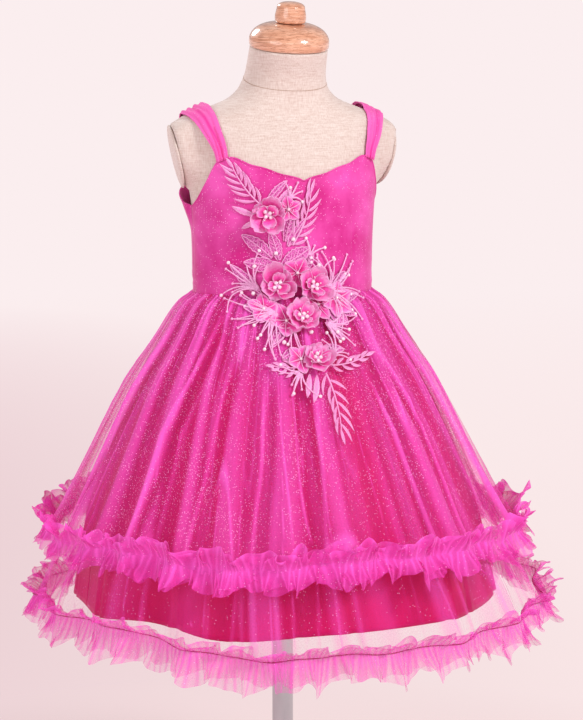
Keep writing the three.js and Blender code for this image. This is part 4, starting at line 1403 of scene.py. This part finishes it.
laceLeaves = {
    "columns": ["x", "z", "heading", "length", "width"],
    "rows": [
        (-38, 704, 55, 29, 7), (-31, 700, 42, 22, 6), (-50, 691, 165, 22, 6), (-49, 685, 206, 15, 5),
        (-21, 665, 78, 33, 9), (-18, 660, 62, 33, 8), (-45, 611, 131, 40, 10), (-36, 600, 190, 28, 13),
        (-14, 537, 252, 23, 6), (-7, 536, 259, 27, 6), (-24, 588, 226, 34, 10), (16, 588, 300, 26, 9),
        (28, 612, 52, 26, 12), (31, 606, 8, 28, 11), (26, 600, 334, 26, 10), (-20, 560, 200, 20, 8),
        (8, 562, 340, 20, 8), (-2, 634, 60, 22, 9),
    ],
}
laceBlooms = {
    "columns": ["x", "z", "radius", "petals", "turn"],
    "rows": [
        (-18, 697, 12, 5, 20), (-8.9, 633, 15, 5, 64), (31, 605, 17, 6, 10), (-27, 586, 14, 5, 30),
        (-20, 550, 12, 5, 50), (9, 600, 14, 5, 80), (-46, 597, 13, 5, 8),
    ],
}
laceSprays = {
    "columns": ["x", "z", "heading", "spread", "length", "strands"],
    "rows": [
        (-17, 706, 60, 46, 20, 5), (-21, 583, 250, 50, 30, 6), (-21, 540, 222, 60, 28, 7),
        (12, 552, 40, 60, 22, 5), (3, 648, 66, 34, 20, 4), (18, 628, 112, 34, 24, 5),
    ],
}
lacePearls = [(-30, 653), (-50, 640), (-13, 667), (-33, 566), (24, 574), (14, 640), (-52, 612), (-4, 575)]


def makeLeaves():
    for leaf in tableRows(leaves):
        bundle = Bundle()
        foot = (leaf["x"], leaf["z"])
        layLeaflet(bundle, foot, leaf["heading"], leaf["length"], leaf["width"],
                   lift=1.0, curl=1.5, bend=6, steps=14, toothed=0.16)
        layVeins(bundle, foot, leaf["heading"], leaf["length"], leaf["width"], bend=6)
        settle(bundle.build(leaf["name"], motifMaterials), "lace", "lace", leaf["node"])


def makeFronds():
    for order, frond in enumerate(tableRows(fronds)):
        bundle = Bundle()
        foot = (frond["x"], frond["z"])
        bow = 14 if order % 2 else -14
        steps = 20
        stem, taper = [], []
        for i in range(steps + 1):
            share = i / steps
            x, z = flatPlace(foot, frond["heading"] + bow * (share - 0.5), share * frond["length"] * 0.94, 0)
            stem.append(bedPoint(x, z, 1.5) * mm)
            taper.append(1.2 - 0.6 * share)
        bundle.addTube(stem, 0.75 * mm, 5, cordPart, taper)
        for i in range(frond["pairs"]):
            share = (i + 0.4) / (frond["pairs"] + 0.3)
            heading = frond["heading"] + bow * (share - 0.5)
            reach = frond["width"] / 2 * (0.9 + 0.55 * math.sin(math.pi * (0.3 + 0.6 * share)))
            for side in (-1, 1):
                spot = flatPlace(foot, heading, (share + 0.05 * side) * frond["length"] * 0.84, 0)
                angle = heading + side * (58 - 20 * share) + 12 * wobble(i * 1.7, order + side)
                size = reach * (1 + 0.3 * wobble(i * 2.3, order + 5 * side))
                layLeaflet(bundle, spot, angle, size, 3.0, lift=1.0, curl=1.2, bend=-side * 22, steps=8)
        tip = flatPlace(foot, frond["heading"] + bow * 0.4, frond["length"] * 0.82, 0)
        layLeaflet(bundle, tip, frond["heading"] + bow * 0.5, frond["length"] * 0.24, 3.2, lift=1.0, curl=1.0)
        settle(bundle.build(frond["name"], motifMaterials), "lace", "lace", frond["node"])


def makeSprays():
    for order, spray in enumerate(tableRows(sprays)):
        bundle = Bundle()
        foot = (spray["x"], spray["z"])
        layStrands(bundle, spray, order, 1.4)
        for side in (-1, 0, 1):
            heading = spray["heading"] + spray["spread"] * side * 0.3
            layLeaflet(bundle, foot, heading, spray["length"] * 0.5, 4.5, lift=1.0, curl=0.6, bend=8 * side)
        settle(bundle.build(spray["name"], motifMaterials), "lace", "lace", spray["node"])


def layStrands(bundle, spray, seed, lift):
    # fan of stitched stamens, every third one ending in a pearl
    foot, steps = (spray["x"], spray["z"]), 8
    for i in range(spray["strands"]):
        share = i / (spray["strands"] - 1) - 0.5
        turn = spray["heading"] + spray["spread"] * share
        reach = spray["length"] * (0.82 + 0.2 * math.cos(i * 2.3 + seed))
        bow = 52 * share + 50 * wobble(i * 3.1, seed + 2)
        route, taper = [], []
        for k in range(steps + 1):
            along = k / steps
            x, z = flatPlace(foot, turn + bow * along, 3 + along * (reach - 3), 0)
            route.append(bedPoint(x, z, lift + 1.2 * math.sin(math.pi * along)) * mm)
            taper.append(1.3 - 0.6 * along)
        bundle.addTube(route, 0.85 * mm, 5, lacePart, taper)
        bundle.addBead(route[-1], (1.4 if i % 3 else 1.9) * mm, cordPart if i % 3 else pearlPart, 8, 6)


def makeLaceGround():
    bundle = Bundle()
    for i, leaf in enumerate(tableRows(laceLeaves)):
        foot = (leaf["x"], leaf["z"])
        bend = 16 * wobble(i * 1.9, 21)
        layLeaflet(bundle, foot, leaf["heading"], leaf["length"], leaf["width"],
                   lift=0.5, curl=0.8, bend=bend, steps=12, toothed=0.12)
        if leaf["width"] > 8:
            layVeins(bundle, foot, leaf["heading"], leaf["length"], leaf["width"], bend)
    for i, bloom in enumerate(tableRows(laceBlooms)):
        for petal in range(bloom["petals"]):
            heading = bloom["turn"] + 360 * petal / bloom["petals"] + 9 * wobble(petal * 1.3, i + 30)
            foot = flatPlace((bloom["x"], bloom["z"]), heading, 1.5, 0)
            width = bloom["radius"] * 5.2 / bloom["petals"]
            layLeaflet(bundle, foot, heading, bloom["radius"], width * 0.86,
                       lift=1.6, curl=2.2, bend=8, steps=10, toothed=0.1, material=petalPart)
            layVeins(bundle, foot, heading, bloom["radius"], width * 0.6, bend=8)
        bundle.addBead(bedPoint(bloom["x"], bloom["z"], 3.4) * mm, 1.7 * mm, pearlPart, 10, 7)
    for i, spray in enumerate(tableRows(laceSprays)):
        layStrands(bundle, spray, i + 40, 1.0)
    for x, z in lacePearls:
        bundle.addBead(bedPoint(x, z, 2.4) * mm, 2.2 * mm, pearlPart, 12, 8)
    settle(bundle.build("laceGround", motifMaterials), "lace", "lace")


# Flowers: five cupped petals, three smaller ones inside, thin stamens and a cluster of pearls

flowers = {
    "columns": ["name", "node", "x", "z", "radius", "turn"],
    "rows": [
        ("flowerBreast", "flower_breast", -38, 692, 18.5, 12),
        ("flowerWaistLeft", "flower_waist_left", -29, 619.5, 18, 40),
        ("flowerWaistRight", "flower_waist_right", 7, 618, 18.5, 5),
        ("flowerMiddle", "flower_middle", -11, 588, 18, 20),
        ("flowerLow", "flower_low", -4.5, 549, 17.5, 55),
    ],
}
petalRings = {
    "columns": ["count", "size", "turn", "lift", "rise"],
    "rows": [(5, 1.0, 0, 0.0, 0.0), (3, 0.62, 31, 2.2, 1.6)],
}
petalShape = {"along": 12, "across": 11, "open": 3.2, "tip": 7.5, "cup": 3.0, "ripple": 1.7,
              "cord": 0.55}
flowerCentre = {"stamens": 5, "pearls": 4, "pearl": 2.1, "stalk": 2.2}
flowerMaterials = ["petal", "cord", "pearl"]


def makeFlower(flower, order):
    normal = bedNormal(flower["x"], flower["z"])
    right = (Vector((1, 0, 0)) - normal * normal.x).normalized()
    up = normal.cross(right).normalized()
    foot = bedPoint(flower["x"], flower["z"], 0)

    def place(across, along, height):
        spot = foot + right * across + up * along + normal * height
        spot.y = min(spot.y, bedDepth(spot.x, spot.z) - bed["clear"])
        return spot * mm

    def placeRound(heading, reach, height):
        return place(reach * math.cos(heading), reach * math.sin(heading), height)

    bundle = Bundle()
    for layer, ring in enumerate(tableRows(petalRings)):
        for petal in range(ring["count"]):
            uneven = wobble(petal * 1.7 + 3 * layer, order + 50)
            size = ring["size"] * (1 + 0.3 * uneven)
            heading = math.radians(flower["turn"] + ring["turn"] + petal * 360 / ring["count"]
                                   + 22 * wobble(petal * 1.3, order))
            rows, rims = [], []
            for i in range(petalShape["along"] + 1):
                along = 0.1 + 0.9 * i / petalShape["along"]
                half = 0.5 * math.sin(math.pi * min(along * 0.74 + 0.04, 1)) ** 0.8 * flower["radius"] * size
                row, rim = [], []
                for k in range(petalShape["across"]):
                    side = 2 * k / (petalShape["across"] - 1) - 1
                    notch = 0.1 * math.exp(-(side / 0.22) ** 2) + 0.2 * side * side
                    reach = (along - notch * along ** 3) * flower["radius"] * size
                    cup = petalShape["cup"] * side * side * along * (1 + 1.6 * uneven)
                    ripple = petalShape["ripple"] * math.sin(side * 5 + petal * 2 + order) * along ** 3
                    lifted = petalShape["tip"] * size * (1 + 1.5 * uneven) * along ** 1.6
                    height = petalShape["open"] + ring["lift"] + lifted + cup + ripple + ring["rise"] * along
                    a = reach * math.cos(heading) - side * half * math.sin(heading)
                    b = reach * math.sin(heading) + side * half * math.cos(heading)
                    row.append(place(a, b, height))
                    rim.append(min(along ** 1.5 + 0.2 * abs(side), 1))
                rows.append(row)
                rims.append(rim)
            bundle.addGrid(rows, False, 0, rims)
            edge = [row[0] for row in rows] + rows[-1][1:-1] + [row[-1] for row in reversed(rows)]
            bundle.addTube(edge, petalShape["cord"] * mm, 4, 1)
    for i in range(flowerCentre["stamens"]):
        heading = math.radians(flower["turn"] + i * 360 / flowerCentre["stamens"] + 12)
        reach = flower["radius"] * (0.34 + 0.1 * (i % 3))
        route = [placeRound(heading, reach * share, 5 + 4.5 * share) for share in (0.1, 0.5, 1)]
        bundle.addTube(route, 0.32 * mm, 4, 1)
        bundle.addBead(route[-1], 0.9 * mm, 2, 6, 4)
    for i in range(flowerCentre["pearls"]):
        heading = math.radians(i * 95 + flower["turn"] * 3)
        spot = placeRound(heading, 2.9 + 1.1 * (i % 2), 7.6 + 0.6 * (i % 2))
        bundle.addBead(spot, flowerCentre["pearl"] * mm, 2, 12, 8)
    bundle.addTube([place(0, 0, 1.0), place(0, 0, 7)], flowerCentre["stalk"] * mm, 8)
    settle(bundle.build(flower["name"], flowerMaterials), "petal", "petal", flower["node"])


makeLeaves()
makeFronds()
makeSprays()
makeLaceGround()
for order, flower in enumerate(tableRows(flowers)):
    makeFlower(flower, order)
print("applique made")


# Studio: pale floor and backdrop in one, soft light all round and three large lamps

studio = {
    "backdrop": colour(251, 238, 239),
    # painted shade on the backdrop: a little darker nearer the middle and darker to the lower left
    "backdropNearShade": colour(249, 230, 230),
    "backdropLeftShade": colour(232, 204, 209),
    "floor": colour(245, 228, 227),
    "world": 0.5,
    "litRadius": (0.3, 0.75),                   # the lit floor passes into the backdrop between these
    "paleRadius": (0.6, 6.0),
    "leftShadeSpot": {"aside": -1.1, "behind": 1.0, "squash": 0.35, "from": 0.35, "to": 1.6},
    "floorRadius": 30.0,
    "wallHeight": 2.2,
    "around": 96,
    "aim": (0, 0, 0.5),
    "lamps": {
        "columns": ["name", "place", "size", "power"],
        "rows": [
            ("lampKey", (1.5, -2.8, 2.5), 1.1, 80),
            ("lampFill", (-2.5, -1.7, 1.5), 2.0, 27),
            ("lampBack", (-0.9, 2.5, 2.3), 1.2, 34),
        ],
    },
}


def makeStudioFloor():
    # lit floor near the foot that passes into a glowing pale backdrop, with painted shade on it: a little
    # darker nearer the middle and darker pink in a patch to the lower left
    board = Board("studioFloor")
    spot = board.places()
    turn = math.radians(photo["azimuth"])
    # painted shade: a darker patch on the backdrop to the lower left
    leftShade = studio["leftShadeSpot"]
    behind = (board.dot(spot, (-math.sin(turn), math.cos(turn), 0)) - leftShade["behind"]) * leftShade["squash"]
    aside = board.dot(spot, (math.cos(turn), math.sin(turn), 0)) - leftShade["aside"]
    left = board.span((behind * behind + aside * aside) ** 0.5, leftShade["from"], leftShade["to"], 1.0, 0.0)
    away = board.add("ShaderNodeVectorMath", {"operation": "LENGTH"}, {0: spot}, "Value")
    outer = board.span(away, *studio["paleRadius"], 0.0, 1.0)
    pale = board.tint(outer, studio["backdropNearShade"], studio["backdrop"])
    glow = board.add("ShaderNodeEmission", {}, {"Color": board.tint(left, pale, studio["backdropLeftShade"])})
    board.surface(Base_Color=studio["floor"], Roughness=0.9, Specular_IOR_Level=0.1)
    share = board.span(away, *studio["litRadius"], 0.0, 1.0)
    both = board.add("ShaderNodeMixShader", {}, {0: share, 1: Wire(board, board.shader.outputs[0]), 2: glow})
    ending = next(n for n in board.tree.nodes if n.type == "OUTPUT_MATERIAL")
    board.feed(ending.inputs["Surface"], both)
    around, radius = studio["around"], studio["floorRadius"]
    points = []
    for height in (-0.0005, studio["wallHeight"]):
        for k in range(around):
            angle = 2 * math.pi * k / around
            points.append((radius * math.cos(angle), radius * math.sin(angle), height))
    floor = newObject("studioFloor", points, gridFaces(2, around, True) + [tuple(range(around))])
    floor.data.materials.append(board.material)


def makeLights():
    world = bpy.data.worlds.new("studioWorld")
    bpy.context.scene.world = world
    world.use_nodes = True
    backdrop = next(n for n in world.node_tree.nodes if n.type == "BACKGROUND")
    backdrop.inputs["Color"].default_value = studio["backdrop"]
    backdrop.inputs["Strength"].default_value = studio["world"]
    for lamp in tableRows(studio["lamps"]):
        data = bpy.data.lights.new(lamp["name"], "AREA")
        data.shape = "DISK"
        data.size = lamp["size"]
        data.energy = lamp["power"]
        light = bpy.data.objects.new(lamp["name"], data)
        bpy.context.scene.collection.objects.link(light)
        light.location = lamp["place"]
        aim = Vector(studio["aim"]) - Vector(lamp["place"])
        light.rotation_euler = aim.to_track_quat("-Z", "Y").to_euler()


makeStudioFloor()
makeLights()
bpy.context.scene.view_settings.view_transform = "Standard"
print("studio made")
